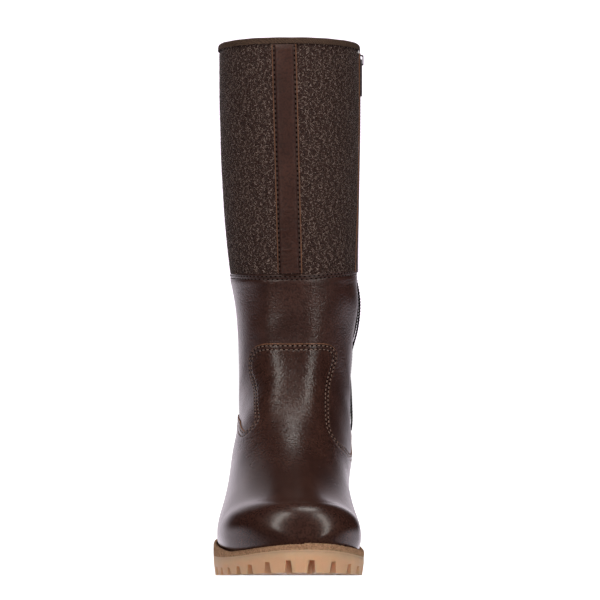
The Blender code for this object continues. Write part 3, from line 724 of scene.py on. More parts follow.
class Finish(Nodes):
    """Principled material with short calls for its textures."""

    def __init__(self, name, **values):
        self.material = bpy.data.materials.new(name)
        self.material.use_nodes = True
        super().__init__(self.material.node_tree)
        self.shader = self.tree.nodes["Principled BSDF"]
        self.place = self.tree.nodes.new("ShaderNodeTexCoord").outputs["Object"]
        self.done(**values)

    def done(self, **values):
        """Sets or links the shader's sockets and returns the material."""
        for key, value in values.items():
            self.put(self.shader.inputs[key.replace("_", " ").title().replace("Ior", "IOR")], value)
        return self.material

    def noise(self, size, detail=2.0, rough=0.5, vector=None):
        """Noise with features of a size in millimetres."""
        inputs = {"Vector": vector or self.place, "Scale": 1.0 / (size * MM)}
        inputs.update({"Detail": detail, "Roughness": rough})
        return self.node("TexNoise", inputs).outputs["Fac"]

    def cells(self, size, feature="F1", vector=None, output="Distance"):
        """Cells of a size in millimetres."""
        inputs = {"Vector": vector or self.place, "Scale": 1.0 / (size * MM)}
        return self.node("TexVoronoi", inputs, feature=feature).outputs[output]

    def stretched(self, turn, stretch):
        """Place turned and drawn out, for fibres and ribs."""
        inputs = {"Vector": self.place, "Rotation": turn, "Scale": stretch}
        return self.node("Mapping", inputs).outputs["Vector"]

    def warped(self, size, amount):
        """Place pushed about by noise."""
        push = self.node("TexNoise", {"Vector": self.place, "Scale": 1.0 / (size * MM), "Detail": 1.0})
        inputs = {0: push.outputs["Color"], 1: (0.5, 0.5, 0.5)}
        centred = self.node("VectorMath", inputs, operation="SUBTRACT").outputs[0]
        moved = self.node("VectorMath", {0: centred, "Scale": amount * MM}, operation="SCALE").outputs[0]
        return self.node("VectorMath", {0: self.place, 1: moved}, operation="ADD").outputs[0]

    def blend(self, share, one, two):
        """Mix of two colours."""
        made = self.node("Mix", {"Factor": share}, data_type="RGBA")
        for key, value in ((6, one), (7, two)):
            self.put(made.inputs[key], value)
        return made.outputs[2]

    def bump(self, height, depth, strength=1.0, normal=None):
        """Bump from a height whose full range is a depth in millimetres."""
        inputs = {"Height": height, "Distance": depth * MM, "Strength": strength}
        if normal is not None:
            inputs["Normal"] = normal
        return self.node("Bump", inputs).outputs["Normal"]


def leather_material(name, dark, light, roughness, grain, polished=0.0):
    """Smooth leather with a fine grain and uneven colour, polished at the toe by a share, and painted shade
    in the grain's valleys.
    """
    finish = Finish(name, specular_IOR_level=0.5)
    warped = finish.warped(2.4, 1.0)
    pebble = finish.cells(1.25, "SMOOTH_F1", warped)
    wrinkle = finish.noise(1.7, 2.0, 0.55, finish.stretched((0.0, 0.3, 0.0), (0.55, 0.55, 1.3)))
    fine = finish.noise(0.5, 3.0, 0.6)
    up = finish.node("SeparateXYZ", {"Vector": finish.place}).outputs["Z"]
    worn = finish.ranged(up, 0.055, 0.105, 1.0 - polished, 1.0)
    patches = finish.noise(34.0, 4.0, 0.6)
    colour = finish.blend(finish.ranged(patches, 0.36, 0.66), dark, light)
    # Painted shade: the grain's valleys are darkened towards half the dark colour
    grain_valley_shade = finish.ranged(pebble, 0.30, 0.70, 0.0, 0.7)
    colour = finish.blend(grain_valley_shade, colour, tuple(value * 0.5 for value in dark))
    height = finish.sum("MULTIPLY_ADD", fine, 0.45, finish.ranged(pebble, 0.1, 0.8, 1.0, 0.0))
    height = finish.sum("MULTIPLY_ADD", wrinkle, 0.6, height)
    normal = finish.bump(height, grain, worn)
    rough = finish.sum("MULTIPLY_ADD", finish.noise(9.0, 3.0), 0.08, roughness - 0.04)
    rough = finish.sum("ADD", rough, finish.ranged(up, 0.055, 0.105, -0.02 * polished, 0.0))
    return finish.done(base_color=colour, roughness=rough, normal=normal)


def raw_edge_material():
    """Cut edge of the leather, paler and fibrous."""
    finish = Finish("raw_edge", roughness=0.8)
    fibres = finish.noise(0.5, 4.0, 0.7)
    colour = finish.blend(finish.ranged(fibres, 0.3, 0.7), (0.09, 0.036, 0.019), (0.36, 0.165, 0.085))
    return finish.done(base_color=colour, normal=finish.bump(fibres, 0.15))


def felt_material():
    """Brown wool felt: dark and mid fibres in all directions with pale flecks."""
    finish = Finish("wool_felt", roughness=0.95, specular_IOR_level=0.12)
    colour = finish.blend(finish.ranged(finish.noise(1.1, 3.0, 0.7), 0.35, 0.65),
                          (0.018, 0.0092, 0.0080), (0.050, 0.0265, 0.0226))
    height = finish.noise(0.8, 3.0, 0.7)
    turns = ((0.3, 0.2, 0.5), (1.1, 0.6, 2.0), (2.1, 1.3, 0.9), (0.7, 2.4, 1.6))
    for step, turn in enumerate(turns):
        fibres = finish.noise(0.62, 2.0, 0.5, finish.stretched(turn, (1.0, 0.16, 1.0)))
        share = finish.ranged(fibres, 0.60, 0.74, 0.0, 0.75)
        pale = ((0.20, 0.135, 0.115), (0.11, 0.068, 0.056))[step % 2]
        colour = finish.blend(share, colour, pale)
        height = finish.sum("ADD", height, share)
    return finish.done(base_color=colour, normal=finish.bump(height, 0.3))


def cloth_material(name, dark, light, rib, roughness=0.85):
    """Woven cloth with a fine rib."""
    finish = Finish(name, roughness=roughness, specular_IOR_level=0.2)
    inputs = {"Vector": finish.place, "Scale": 0.32 / (rib * MM)}
    inputs.update({"Distortion": 7.0, "Detail": 2.0, "Detail Scale": 1.5})
    one = finish.node("TexWave", inputs, bands_direction="DIAGONAL").outputs["Fac"]
    speck = finish.noise(rib, 3.0, 0.7)
    share = finish.sum("MULTIPLY", finish.sum("ADD", one, speck), 0.5)
    colour = finish.blend(share, dark, light)
    return finish.done(base_color=colour, normal=finish.bump(share, rib * 0.3))


def lining_material():
    """Plain napped lining inside the boot."""
    finish = Finish("napped_lining", roughness=0.95, sheen_weight=0.3, sheen_roughness=0.4)
    nap = finish.noise(1.4, 4.0, 0.7)
    colour = finish.blend(nap, (0.10, 0.07, 0.05), (0.26, 0.20, 0.15))
    return finish.done(base_color=colour, normal=finish.bump(nap, 0.6))


def gum_material():
    """Gum rubber, slightly see-through, with faint moulding marks."""
    finish = Finish("gum_rubber", subsurface_weight=0.6, subsurface_scale=0.010,
                    subsurface_radius=(1.0, 0.6, 0.4))
    clouds = finish.noise(12.0, 4.0, 0.6)
    speck = finish.noise(0.9, 3.0, 0.7)
    colour = finish.blend(clouds, (0.70, 0.405, 0.245), (0.84, 0.52, 0.335))
    colour = finish.blend(finish.ranged(speck, 0.60, 0.78, 0.0, 0.25), colour, (0.56, 0.30, 0.17))
    rough = finish.ranged(clouds, 0.3, 0.7, 0.48, 0.62)
    height = finish.sum("MULTIPLY_ADD", speck, 0.5, clouds)
    rounded = finish.node("Bevel", {"Radius": 0.5 * MM}, samples=4).outputs["Normal"]
    return finish.done(base_color=colour, roughness=rough, normal=finish.bump(height, 0.25, 1.0, rounded))


def welt_material():
    """Granular strip: crumbs of rubber in tan and brown."""
    finish = Finish("granular_welt", roughness=0.85)
    crumbs = finish.cells(0.85, "F1", None, "Color")
    bright = finish.node("SeparateColor", {"Color": crumbs}).outputs["Red"]
    edge = finish.cells(0.85, "F1")
    colour = finish.blend(bright, (0.32, 0.165, 0.088), (0.62, 0.36, 0.215))
    patches = finish.ranged(finish.noise(7.0, 3.0), 0.4, 0.7, 0.0, 0.5)
    colour = finish.blend(patches, colour, (0.60, 0.35, 0.21))
    height = finish.sum("MULTIPLY_ADD", bright, 0.7, finish.ranged(edge, 0.2, 0.8, 1.0, 0.0))
    return finish.done(base_color=colour, normal=finish.bump(height, 0.45))


def metal_material(name, colour, roughness):
    """Dark metal with fine brushing and slight wear."""
    finish = Finish(name, metallic=1.0)
    brushed = finish.noise(0.5, 3.0, 0.6, finish.stretched((0.0, 0.0, 0.0), (1.0, 1.0, 0.12)))
    dark, light = (tuple(value * part for value in colour) for part in (0.75, 1.2))
    shade = finish.blend(brushed, dark, light)
    rough = finish.ranged(brushed, 0.3, 0.7, roughness - 0.07, roughness + 0.09)
    rounded = finish.node("Bevel", {"Radius": 0.25 * MM}, samples=4).outputs["Normal"]
    return finish.done(base_color=shade, roughness=rough, normal=finish.bump(brushed, 0.03, 1.0, rounded))


def thread_material(name, dark, light):
    """Twisted sewing thread."""
    finish = Finish(name, roughness=0.6, sheen_weight=0.2)
    strands = finish.noise(0.3, 2.0)
    return finish.done(base_color=finish.blend(strands, dark, light), normal=finish.bump(strands, 0.08))


LEATHER = leather_material("leather", (0.048, 0.0195, 0.0155), (0.070, 0.030, 0.0235), 0.32, 0.16)
VAMP_LEATHER = leather_material("vamp_leather", (0.043, 0.017, 0.0128), (0.064, 0.027, 0.020),
                                0.27, 0.11, 0.8)
STRIP_LEATHER = leather_material("strip_leather", (0.050, 0.0165, 0.0110), (0.070, 0.0255, 0.0175),
                                 0.40, 0.16)
RAW_EDGE = raw_edge_material()
FELT = felt_material()
LINING = lining_material()
BINDING = cloth_material("binding_cloth", (0.022, 0.012, 0.008), (0.125, 0.076, 0.054), 1.1, 0.9)
TAPE = cloth_material("zip_tape_cloth", (0.012, 0.008, 0.007), (0.030, 0.021, 0.017), 0.5)
GUM = gum_material()
WELT = welt_material()
GUNMETAL = metal_material("gunmetal", (0.23, 0.22, 0.215), 0.3)
TEETH = metal_material("zip_teeth", (0.05, 0.042, 0.038), 0.42)
THREAD = thread_material("thread", (0.12, 0.070, 0.052), (0.26, 0.165, 0.130))
DARK_THREAD = thread_material("dark_thread", (0.030, 0.016, 0.013), (0.064, 0.036, 0.029))
# Painted shade: near-black, glossless discs stand for the shadow inside needle holes
NEEDLE_HOLE_SHADE = Finish("needle_hole_painted_shade", base_color=(0.0025, 0.0015, 0.0012), roughness=1.0,
                     specular_IOR_level=0.0).material


def stitch_points(points, normals, stitch):
    """Points, faces and finishes of a row of stitches on a line, with a near-black disc at both ends of each
    as painted shade of a needle hole.
    """
    line = even_line(np.column_stack((points, normals)), 0.2)
    walked = walked_length(line[:, :3])
    verts, faces, indices = [], [], []
    for start in np.arange(stitch.pitch / 2, walked[-1] - stitch.length, stitch.pitch):
        places = np.linspace(start, start + stitch.length, STITCH_RINGS)
        spots = np.column_stack([np.interp(places, walked, line[:, axis]) for axis in range(6)])
        run = unit(spots[-1, :3] - spots[0, :3])
        base = len(verts)
        for ring, spot in enumerate(spots):
            arch = math.sin(math.pi * ring / (STITCH_RINGS - 1))
            swell = stitch.width * (0.45 + 0.55 * arch**0.6)
            normal = unit(spot[3:])
            centre = spot[:3] + normal * STITCH_LIFT * (arch - 0.65)
            side = np.cross(normal, run) * swell / 2
            verts.extend(circle(centre, side, normal * swell * 0.4, STITCH_SIDES))
        faces += ring_faces(STITCH_RINGS, STITCH_SIDES, base)
        faces.append(tuple(base + step for step in reversed(range(STITCH_SIDES))))
        faces.append(tuple(range(len(verts) - STITCH_SIDES, len(verts))))
        indices += [0] * ((STITCH_RINGS - 1) * STITCH_SIDES + 2)
        # At both ends a near-black disc is laid as painted shade of the needle hole
        for spot, shift in ((spots[0], -HOLE_SHADE_SHIFT), (spots[-1], HOLE_SHADE_SHIFT)):
            normal = unit(spot[3:])
            side = np.cross(normal, run) * stitch.width * 0.62
            centre = spot[:3] + normal * HOLE_SHADE_LIFT + run * shift
            verts.extend(circle(centre, run * stitch.hole, side, HOLE_SHADE_SIDES))
            faces.append(tuple(range(len(verts) - HOLE_SHADE_SIDES, len(verts))))
            indices.append(1)
    return verts, faces, indices


def add_stitches(name, rows, thread, stitch):
    """Piece of all the stitches along rows of points with their normals."""
    verts, faces, indices = [], [], []
    for points, normals in rows:
        more, shapes, kinds = stitch_points(points, normals, stitch)
        faces += [tuple(index + len(verts) for index in shape) for shape in shapes]
        verts += more
        indices += kinds
    return add_piece(name, np.array(verts), faces, (thread, NEEDLE_HOLE_SHADE), "boot", (), indices)


def rows_on(skin, name, levels, out):
    """Stitch rows along levels of a measure, at the height of the finished face."""
    found = []
    for chain in [chain for level in levels for chain in skin.lines(name, level)]:
        normals = skin.normals[chain]
        found.append((skin.points[chain] + normals * out[chain][:, None], normals))
    return found


def seam_relief(edge, rows):
    """Rounded edge and the grooves that rows of stitches pull into the leather."""
    relief = 0.55 * rolled_edge(edge, 0.8)
    for row in rows:
        relief -= 0.26 * hump(edge, row, 0.6)
    return relief - 0.14 * step_up(rows[1] + 1.4 - edge, 0.0, 1.6)


def front_flat(points):
    """Flatter middle and fuller shoulders of the ankle's front."""
    flat = FRONT_FLAT
    away = np.abs(points[:, 1] - flat.across)
    change = (flat.sink + flat.shoulder) * step_up(away, 0.0, flat.half) - flat.sink
    change -= flat.shoulder * step_up(away, flat.half, flat.half * 1.8)
    height = step_up(points[:, 2], flat.low, flat.low_full)
    height -= step_up(points[:, 2], flat.high_full, flat.high)
    return change * height * step_up(points[:, 0], flat.rear, flat.rear_full)


def toe_ridge(points):
    """Low ridge round the top of the toe, where it turns down."""
    ridge = TOE_RIDGE
    line = ridge.along - ridge.bend * (points[:, 1] - ridge.across) ** 2
    height = ridge.height * step_up(points[:, 2], ridge.low, ridge.low_full)
    return height * hump(points[:, 0], line, ridge.width)


def zip_shape(up, bends):
    """Sum of the zip's bends at heights above the floor."""
    return sum(bend.amount * np.exp(-((up - bend.up) / bend.reach) ** 4) for bend in bends)


def slit_side(points, foot=-np.inf):
    """Distance from the edge of the zip's slit, which ends at a foot, and far off on the other side."""
    beside = np.abs(points[:, 0] - ZIP_ALONG) - ZIP_SLIT / 2
    return np.where(points[:, 1] > 0, np.maximum(beside, foot - points[:, 2]), FAR)


def strip_side(points):
    """Distance from the middle of the front strip, and far off behind the front."""
    share = (points[:, 2] - STRIP_FOOT.up) / (STRIP_TOP.up - STRIP_FOOT.up)
    middle = STRIP_FOOT.across + share * (STRIP_TOP.across - STRIP_FOOT.across)
    return np.where(points[:, 0] > STRIP_FRONT, np.abs(points[:, 1] - middle), FAR)


ROWS, GRID = form_grid()

# Vamp: overlay with a rounded raw edge and two rows of stitches
vamp = form_skin(0, HEEL_ROW + 3)
vamp.measures["side"] = vamp_measure(vamp.points)
vamp.split("side", 0.0)
seam_lines = [vamp.points[chain] for chain in vamp.lines("side", 0.0)]
vamp.measures["edge"] = np.sign(vamp.measures["side"]) * true_distance(vamp.points, seam_lines)
vamp.keep("side", low=0.0)
vamp.split("edge", 0.35, 0.8, 1.25, VAMP_ROWS[0], 2.15, 3.1, 4.1, VAMP_ROWS[1], 5.1, 6.0, 7.2)
edge = vamp.measures["edge"]
vamp_flat = front_flat(vamp.points)
vamp_out = CLEARANCE + OVERLAY + seam_relief(edge, VAMP_ROWS) + vamp_flat + toe_ridge(vamp.points)
vamp_out += crease_depth(vamp.points, VAMP_CREASES) * step_up(edge, 2.0, 9.0)
add_shell("vamp_leather", vamp, vamp_out, vamp_out - vamp_flat - SEAT,
          (VAMP_LEATHER, RAW_EDGE, RAW_EDGE), ("vamp",), edge < VAMP_RAW)
add_stitches("vamp_stitches", rows_on(vamp, "edge", VAMP_ROWS, vamp_out), THREAD, VAMP_STITCH)

# Upper: quarters and lower shaft, with its folded top edge over the felt and the slit for the zip.
# Every second row is enough for the foot that the vamp covers.
MEDIAL_RISE = 3.0
upper = form_skin(0, FELT_ROW + 0.5, (ROWS >= COVERED_ROW) | (np.arange(len(ROWS)) % 2 == 0))
top_line = FELT_LINE - CLEARANCE + MEDIAL_RISE * step_up(upper.points[:, 1], 2.0, 50.0)
upper.measures["top"] = top_line - upper.points[:, 2]
upper.keep("top", low=0.0)
upper.measures["slit"] = slit_side(upper.points, ZIP_FOOT)
upper.keep("slit", low=0.0)
upper.measures["lap"] = upper.points[:, 2] - (FELT_LINE - 0.1)
upper.split("lap", 0.0)
upper.split("top", 0.3, 0.7, UPPER_ROWS[0], 1.9, 2.4, 2.9, UPPER_ROWS[1], 4.0, 4.8, 5.8, 7.0, 8.4)
upper.split("slit", 0.4, 0.9, 1.6, SLIT_ROW, 3.2)
top, slit = upper.measures["top"], upper.measures["slit"]
upper_out = seam_relief(top, UPPER_ROWS) + 0.25 * hump(top, 6.2, 2.0) + 0.7 * rolled_edge(slit, 1.6)
upper_out += crease_depth(upper.points, UPPER_CREASES) * step_up(top, 5.0, 12.0)
upper_out += 0.3 * hump(top, 0.9, 0.6) + front_flat(upper.points)
upper_out -= zip_shape(upper.points[:, 2], ZIP_SINKS) * hump(slit, 0.0, 14.0)
inner_depth = np.where(upper.measures["lap"] > 0, FELT_SET_BACK - SEAT, LEATHER_WALL)
add_shell("upper_leather", upper, upper_out, upper_out + inner_depth,
          (LEATHER, LINING, RAW_EDGE), ("upper",))
add_stitches("upper_stitches", rows_on(upper, "top", UPPER_ROWS, upper_out), DARK_THREAD, UPPER_STITCH)
add_stitches("slit_stitches", rows_on(upper, "slit", (SLIT_ROW,), upper_out), DARK_THREAD, SLIT_STITCH)

# Felt shaft, slightly uneven, open at the zip and pinched beside the strip and under the binding
felt = form_skin(FELT_ROW, COLLAR_ROW)
felt.measures["slit"] = slit_side(felt.points)
felt.keep("slit", low=0.0)
felt.measures["strip"] = strip_side(felt.points)
rim = SHAFT[-1]
rim_up = np.interp(felt.points[:, 0], (rim.rear_along, rim.front_along), (rim.rear_up, rim.front_up))
felt.measures["below"] = rim_up - felt.points[:, 2]
felt.split("below", 1.0, 1.6, 2.2, 3.0, 4.0)
felt_out = -FELT_SET_BACK + 0.22 * waves(felt.points, 26.0, 3) + 0.10 * waves(felt.points, 6.0, 4)
felt_out -= 0.25 * hump(felt.measures["strip"], STRIP_WIDTH / 2, 1.6)
felt_out = np.minimum(felt_out, -FELT_SET_BACK + 0.25) - 0.9 * hump(felt.measures["below"], 1.9, 0.9)
add_shell("felt_shaft", felt, felt_out, felt_out + LEATHER_WALL, (FELT, LINING, FELT), ("shaft",))

# Front strip: raised middle between two rows of dark stitches, with raw edges
strip = form_skin(FELT_ROW, COLLAR_ROW)
strip.measures["side"] = strip_side(strip.points)
strip.keep("side", high=STRIP_WIDTH / 2)
strip.measures["end"] = np.minimum(strip.points[:, 2] - STRIP_FOOT.up, STRIP_TOP.up - strip.points[:, 2])
strip.keep("end", low=0.0)
strip.split("side", 8.55, 8.2, 7.8, STRIP_ROW, 7.0, STRIP_PAD, 6.5, 6.3, 6.1, 5.8, 5.3, 4.6, 3.0)
side, up = strip.measures["side"], strip.points[:, 2]
padding = step_up(STRIP_PAD - side, 0.0, 0.8) * step_up(STRIP_TOP.up - up, 0.3, 2.6)
wrinkled = step_up(320.0 - up, 0.0, 60.0) * waves(strip.points * (0.3, 1.0, 1.6), 5.0, 8)
padded = 0.85 + 0.25 * (1 - (side / STRIP_PAD) ** 4) + 0.06 * waves(strip.points, 18.0, 6)
strip_out = 0.35 + 0.45 * rolled_edge(STRIP_WIDTH / 2 - side, 0.7) - 0.22 * hump(side, STRIP_ROW, 0.55)
strip_out += padding * (padded + 0.10 * wrinkled)
add_shell("strip_leather", strip, strip_out, strip_out + FELT_SET_BACK - SEAT,
          (STRIP_LEATHER, RAW_EDGE, RAW_EDGE), ("front_strip",), side > STRIP_RAW)
add_stitches("strip_stitches", rows_on(strip, "side", (STRIP_ROW,), strip_out), DARK_THREAD, STRIP_STITCH)

# Leather facings along the zip on the felt
facing_rows = []
for name, low in (("zip_facing_front", ZIP_ALONG + ZIP_SLIT / 2),
                  ("zip_facing_rear", ZIP_ALONG - ZIP_SLIT / 2 - FACING_WIDTH)):
    facing = form_skin(FELT_ROW, COLLAR_ROW)
    along, across, up = facing.points.T
    above = np.clip((up - FELT_LINE - 1.0) / FLARE_LENGTH, 0.0, 1.0)
    flare = FACING_FLARE * np.interp(above, (0.0, 0.5, 1.0), (1.0, 0.4, 0.0)) * (low > ZIP_ALONG)
    inside = np.minimum(along - low, low + FACING_WIDTH + flare - along)
    facing.measures["side"] = np.where(across > 0, inside, -FAR)
    facing.keep("side", low=0.0)
    up = facing.points[:, 2]
    facing.measures["end"] = np.minimum(up - FELT_LINE - 1.0, ZIP_TOP + 1.0 - up)
    facing.keep("end", low=0.0)
    facing.split("side", 0.4, 0.9, 1.6, FACING_ROW, 2.8)
    edge = facing.measures["side"]
    facing_out = 0.65 + 0.5 * rolled_edge(edge, 0.8) - 0.2 * hump(edge, FACING_ROW, 0.5)
    add_shell(name + "_leather", facing, facing_out, facing_out + FELT_SET_BACK - SEAT,
              (LEATHER, RAW_EDGE, RAW_EDGE), (name,))
    facing_rows += rows_on(facing, "side", (FACING_ROW,), facing_out)
add_stitches("facing_stitches", facing_rows, DARK_THREAD, FACING_STITCH)

# Zip tape with its closed chain of teeth, which stand out of the slit where the boot bends
tape = form_skin(HEEL_ROW - 4, COLLAR_ROW)
tape.measures["side"] = np.where(tape.points[:, 1] > 0, tape.points[:, 0] - ZIP_ALONG, FAR)
tape.keep("side", low=-TAPE_WIDTH / 2, high=TAPE_WIDTH / 2)
tape.measures["end"] = np.minimum(tape.points[:, 2] - ZIP_FOOT + 6.0, ZIP_TOP - tape.points[:, 2])
tape.split("side", 0.0)
chain = tape.lines("side", 0.0)[0]
chain_points = np.column_stack((tape.points[chain], tape.normals[chain]))
tape.keep("end", low=0.0)
tape_out = zip_shape(tape.points[:, 2], ZIP_BULGES) * step_up(5.6 - np.abs(tape.measures["side"]), 0.0, 2.4)
add_shell("zip_tape_cloth", tape, tape_out - LEATHER_WALL - CLEARANCE, TAPE_THICK,
          (TAPE, TAPE, TAPE), ("zip_tape",))


def tooth_shape():
    """Points and faces of a rounded tooth, one unit long each way."""
    verts = []
    turns, levels = 8, 5
    for level in range(levels):
        tilt = math.pi * (level + 0.5) / levels - math.pi / 2
        across = math.cos(tilt)
        loop = circle((0.0, 0.0, math.sin(tilt)), (across, 0.0, 0.0), (0.0, across, 0.0), turns)
        verts.extend(np.sign(loop) * np.abs(loop) ** 0.6)
    ends = [tuple(reversed(range(turns))), tuple(range((levels - 1) * turns, levels * turns))]
    return np.array(verts), ring_faces(levels, turns) + ends


if chain_points[0, 2] > chain_points[-1, 2]:
    chain_points = chain_points[::-1]
chain_points = chain_points[(chain_points[:, 2] > ZIP_FOOT + 2) & (chain_points[:, 2] < ZIP_TOP - 4)]
line = even_line(chain_points, TOOTH_PITCH)
tooth_verts, tooth_faces = tooth_shape()
verts, faces = [], []
for index in range(1, len(line) - 1):
    run = unit(line[index + 1, :3] - line[index - 1, :3])
    normal = unit(line[index, 3:])
    side = np.cross(normal, run)
    shift = TOOTH_SHIFT if index % 2 else -TOOTH_SHIFT
    spot = line[index, :3] + normal * (zip_shape(line[index, 2], ZIP_BULGES) - TOOTH_SUNK) + side * shift
    faces += [tuple(corner + len(verts) for corner in face) for face in tooth_faces]
    verts.extend(spot + (tooth_verts * TOOTH_HALF) @ np.array((side, run, normal)))
add_piece("zip_teeth", np.array(verts), faces, (TEETH,), "boot", ("zip_chain",))

# Collar binding: a rounded fold over the rim, open at the zip
collar = section_points(COLLAR_ROW, COLUMNS)[:-1]
ahead = np.roll(collar, -1, axis=0) - np.roll(collar, 1, axis=0)
outward = unit(np.column_stack((-ahead[:, 1], ahead[:, 0])))
if np.sum(outward * (collar[:, :2] - collar.mean(axis=0)[:2])) < 0:
    outward = -outward
in_slit = (collar[:, 1] > 0) & (np.abs(collar[:, 0] - ZIP_ALONG) < ZIP_SLIT / 2 + 0.2)
first = int(np.argmax(in_slit & ~np.roll(in_slit, -1))) + 1
order = (np.arange(len(collar)) + first) % len(collar)
order = order[~in_slit[order]]
half = FELT_WALL / 2
turns = np.linspace(0.0, math.pi, RIM_PROFILE)
verts = []
for count, index in enumerate(order):
    ripple = 0.06 * math.sin(count * 0.55) + 0.05 * math.sin(count * 0.23 + 1.0)
    for reach, top, way in ((half + 0.95, BINDING_RISE, 1), (half + 0.25, 0.4, -1)):
        profile = [(reach, -BINDING_DROP), (reach * 1.02, -BINDING_DROP * 0.5)]
        profile += [(reach * np.sign(math.cos(turn)) * abs(math.cos(turn)) ** 0.75,
                     (top + ripple) * abs(math.sin(turn)) ** 0.75) for turn in turns]
        profile += [(-reach * 1.02, -BINDING_DROP * 0.5), (-reach, -BINDING_DROP)]
        for out, up in profile[::way]:
            spot = collar[index, :2] + outward[index] * (out - half - FELT_SET_BACK)
            verts.append((spot[0], spot[1], collar[index, 2] + up))
ring = 2 * (RIM_PROFILE + 4)
faces = ring_faces(len(order), ring, flipped=True)
faces.append(tuple(range(ring)))
faces.append(tuple(reversed(range(len(verts) - ring, len(verts)))))
add_piece("collar_binding_fold", np.array(verts), faces, (BINDING,), "boot", ("collar_binding",))


def outline_point(along, margin, side):
    """Point of the plan with a margin, at stations of the upper's length, on one side."""
    reached = -margin + along / UPPER_LENGTH * (UPPER_LENGTH + 2 * margin)
    half = plan_half(reached, margin)
    return np.column_stack((reached, plan_row(reached).centre + side * half, edge_up(reached)))


# Welt: granular ring with an uneven lip
Level = namedtuple("Level", "margin up lip rough")
WELT_LEVELS = (
    Level(SOLE_MARGIN, -WELT_THICK - CLEARANCE + 0.02, 0.0, 0.0),
    Level(SOLE_MARGIN, -WELT_THICK + 0.9, 0.1, 0.25),
    Level(SOLE_MARGIN + 0.05, -3.4, 0.35, 0.6),
    Level(SOLE_MARGIN + 0.05, -2.2, 0.65, 1.0),
    Level(SOLE_MARGIN, -1.2, 0.9, 1.0),
    Level(SOLE_MARGIN - 0.15, -0.4, 1.0, 1.0),
    Level(SOLE_MARGIN - 0.6, 0.25, 1.0, 1.0),
    Level(SOLE_MARGIN - 1.3, 0.4, 1.0, 1.0),
    Level(SOLE_MARGIN - 2.0, 0.3, 1.0, 0.8),
    Level(SOLE_MARGIN - 2.4, -0.1, 0.5, 0.5),
    Level(SOLE_MARGIN - 2.8, -0.25, 0.0, 0.3),
    Level(-WELT_INSIDE, -0.3, 0.0, 0.0),
    Level(-WELT_INSIDE, -WELT_THICK, 0.0, 0.0),
)
stations = UPPER_LENGTH * (1 - np.cos(np.pi * np.arange(WELT_STEPS + 1) / WELT_STEPS)) / 2
draw = np.random.default_rng(11)
loops = []
for level in WELT_LEVELS:
    lateral = outline_point(stations, level.margin, -1.0)
    lateral[:, 2] += level.lip * lip_rise(lateral[:, 0])
    medial = outline_point(stations, level.margin, 1.0)
    loop = np.concatenate((lateral, medial[-2:0:-1]))
    loop[:, 2] += level.up
    jitter = draw.normal(size=loop.shape) * 0.16 * level.rough
    loop += np.clip(jitter, -0.3, 0.3)
    loops.append(loop)
around = len(loops[0])
faces = ring_faces(len(loops), around, flipped=True, joined=True)
kinds = [1] * around + [0] * (len(faces) - around)
add_piece("granular_welt", np.concatenate(loops), faces, (WELT, GUM), "boot",
          ("welt",), kinds)

# Wool fibres lying on the felt, each two quads with a bend
draw = np.random.default_rng(5)
area = np.linalg.norm(face_normals(felt.points, felt.triangles), axis=1)
reached = (np.arange(FIBRES) + draw.uniform(size=FIBRES)) / FIBRES * area.sum()
chosen = felt.triangles[np.minimum(np.searchsorted(np.cumsum(area), reached), len(area) - 1)]
weights = draw.dirichlet((1.0, 1.0, 1.0), FIBRES)
spots = np.einsum("ij,ijk->ik", weights, felt.points[chosen])
facing = unit(np.einsum("ij,ijk->ik", weights, felt.normals[chosen]))
heights = np.einsum("ij,ij->i", weights, felt_out[chosen])
aside = unit(np.cross(facing, draw.normal(size=(FIBRES, 3))))
along_fibre = np.cross(facing, aside)
length = draw.uniform(*FIBRE_LENGTH, FIBRES)
bend = draw.normal(0.0, FIBRE_BEND, FIBRES)
width = draw.uniform(*FIBRE_WIDTH, FIBRES)
lift = draw.uniform(*FIBRE_LIFT, FIBRES)
strands = []
for share, thin in ((-0.5, 0.45), (0.0, 1.0), (0.5, 0.45)):
    rise = heights + 0.03 + lift * (1 - 3.2 * share**2)
    centre = spots + along_fibre * (length * share)[:, None] + facing * rise[:, None]
    centre += aside * (length * bend * share**2 * 4)[:, None]
    half_width = aside * (width * thin / 2)[:, None]
    strands += [centre - half_width, centre + half_width]
verts = np.stack(strands, axis=1).reshape(-1, 3)
base = np.arange(FIBRES)[:, None] * 6
faces = np.concatenate([base + np.array(quad) for quad in ((0, 1, 3, 2), (2, 3, 5, 4))])
PALE_FIBRE = thread_material("pale_fibre", (0.26, 0.172, 0.144), (0.62, 0.465, 0.405))
BROWN_FIBRE = thread_material("brown_fibre", (0.056, 0.030, 0.025), (0.120, 0.070, 0.058))
DARK_FIBRE = thread_material("dark_fibre", (0.008, 0.005, 0.0045), (0.016, 0.009, 0.008))
kinds = draw.permuted(np.tile((0, 1, 2), (FIBRES // 3, 1)), axis=1).ravel()
add_piece("felt_fibres", verts, faces.tolist(), (PALE_FIBRE, BROWN_FIBRE, DARK_FIBRE), "boot", (),
          np.tile(kinds, 2))

# Finishes of the solids that stay
STAYING = {"outsole": GUM, "insole": LINING, "zip_slider": GUNMETAL, "zip_pull": GUNMETAL}
for name, material in STAYING.items():
    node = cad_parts[name]
    node.data.materials.clear()
    node.data.materials.append(material)

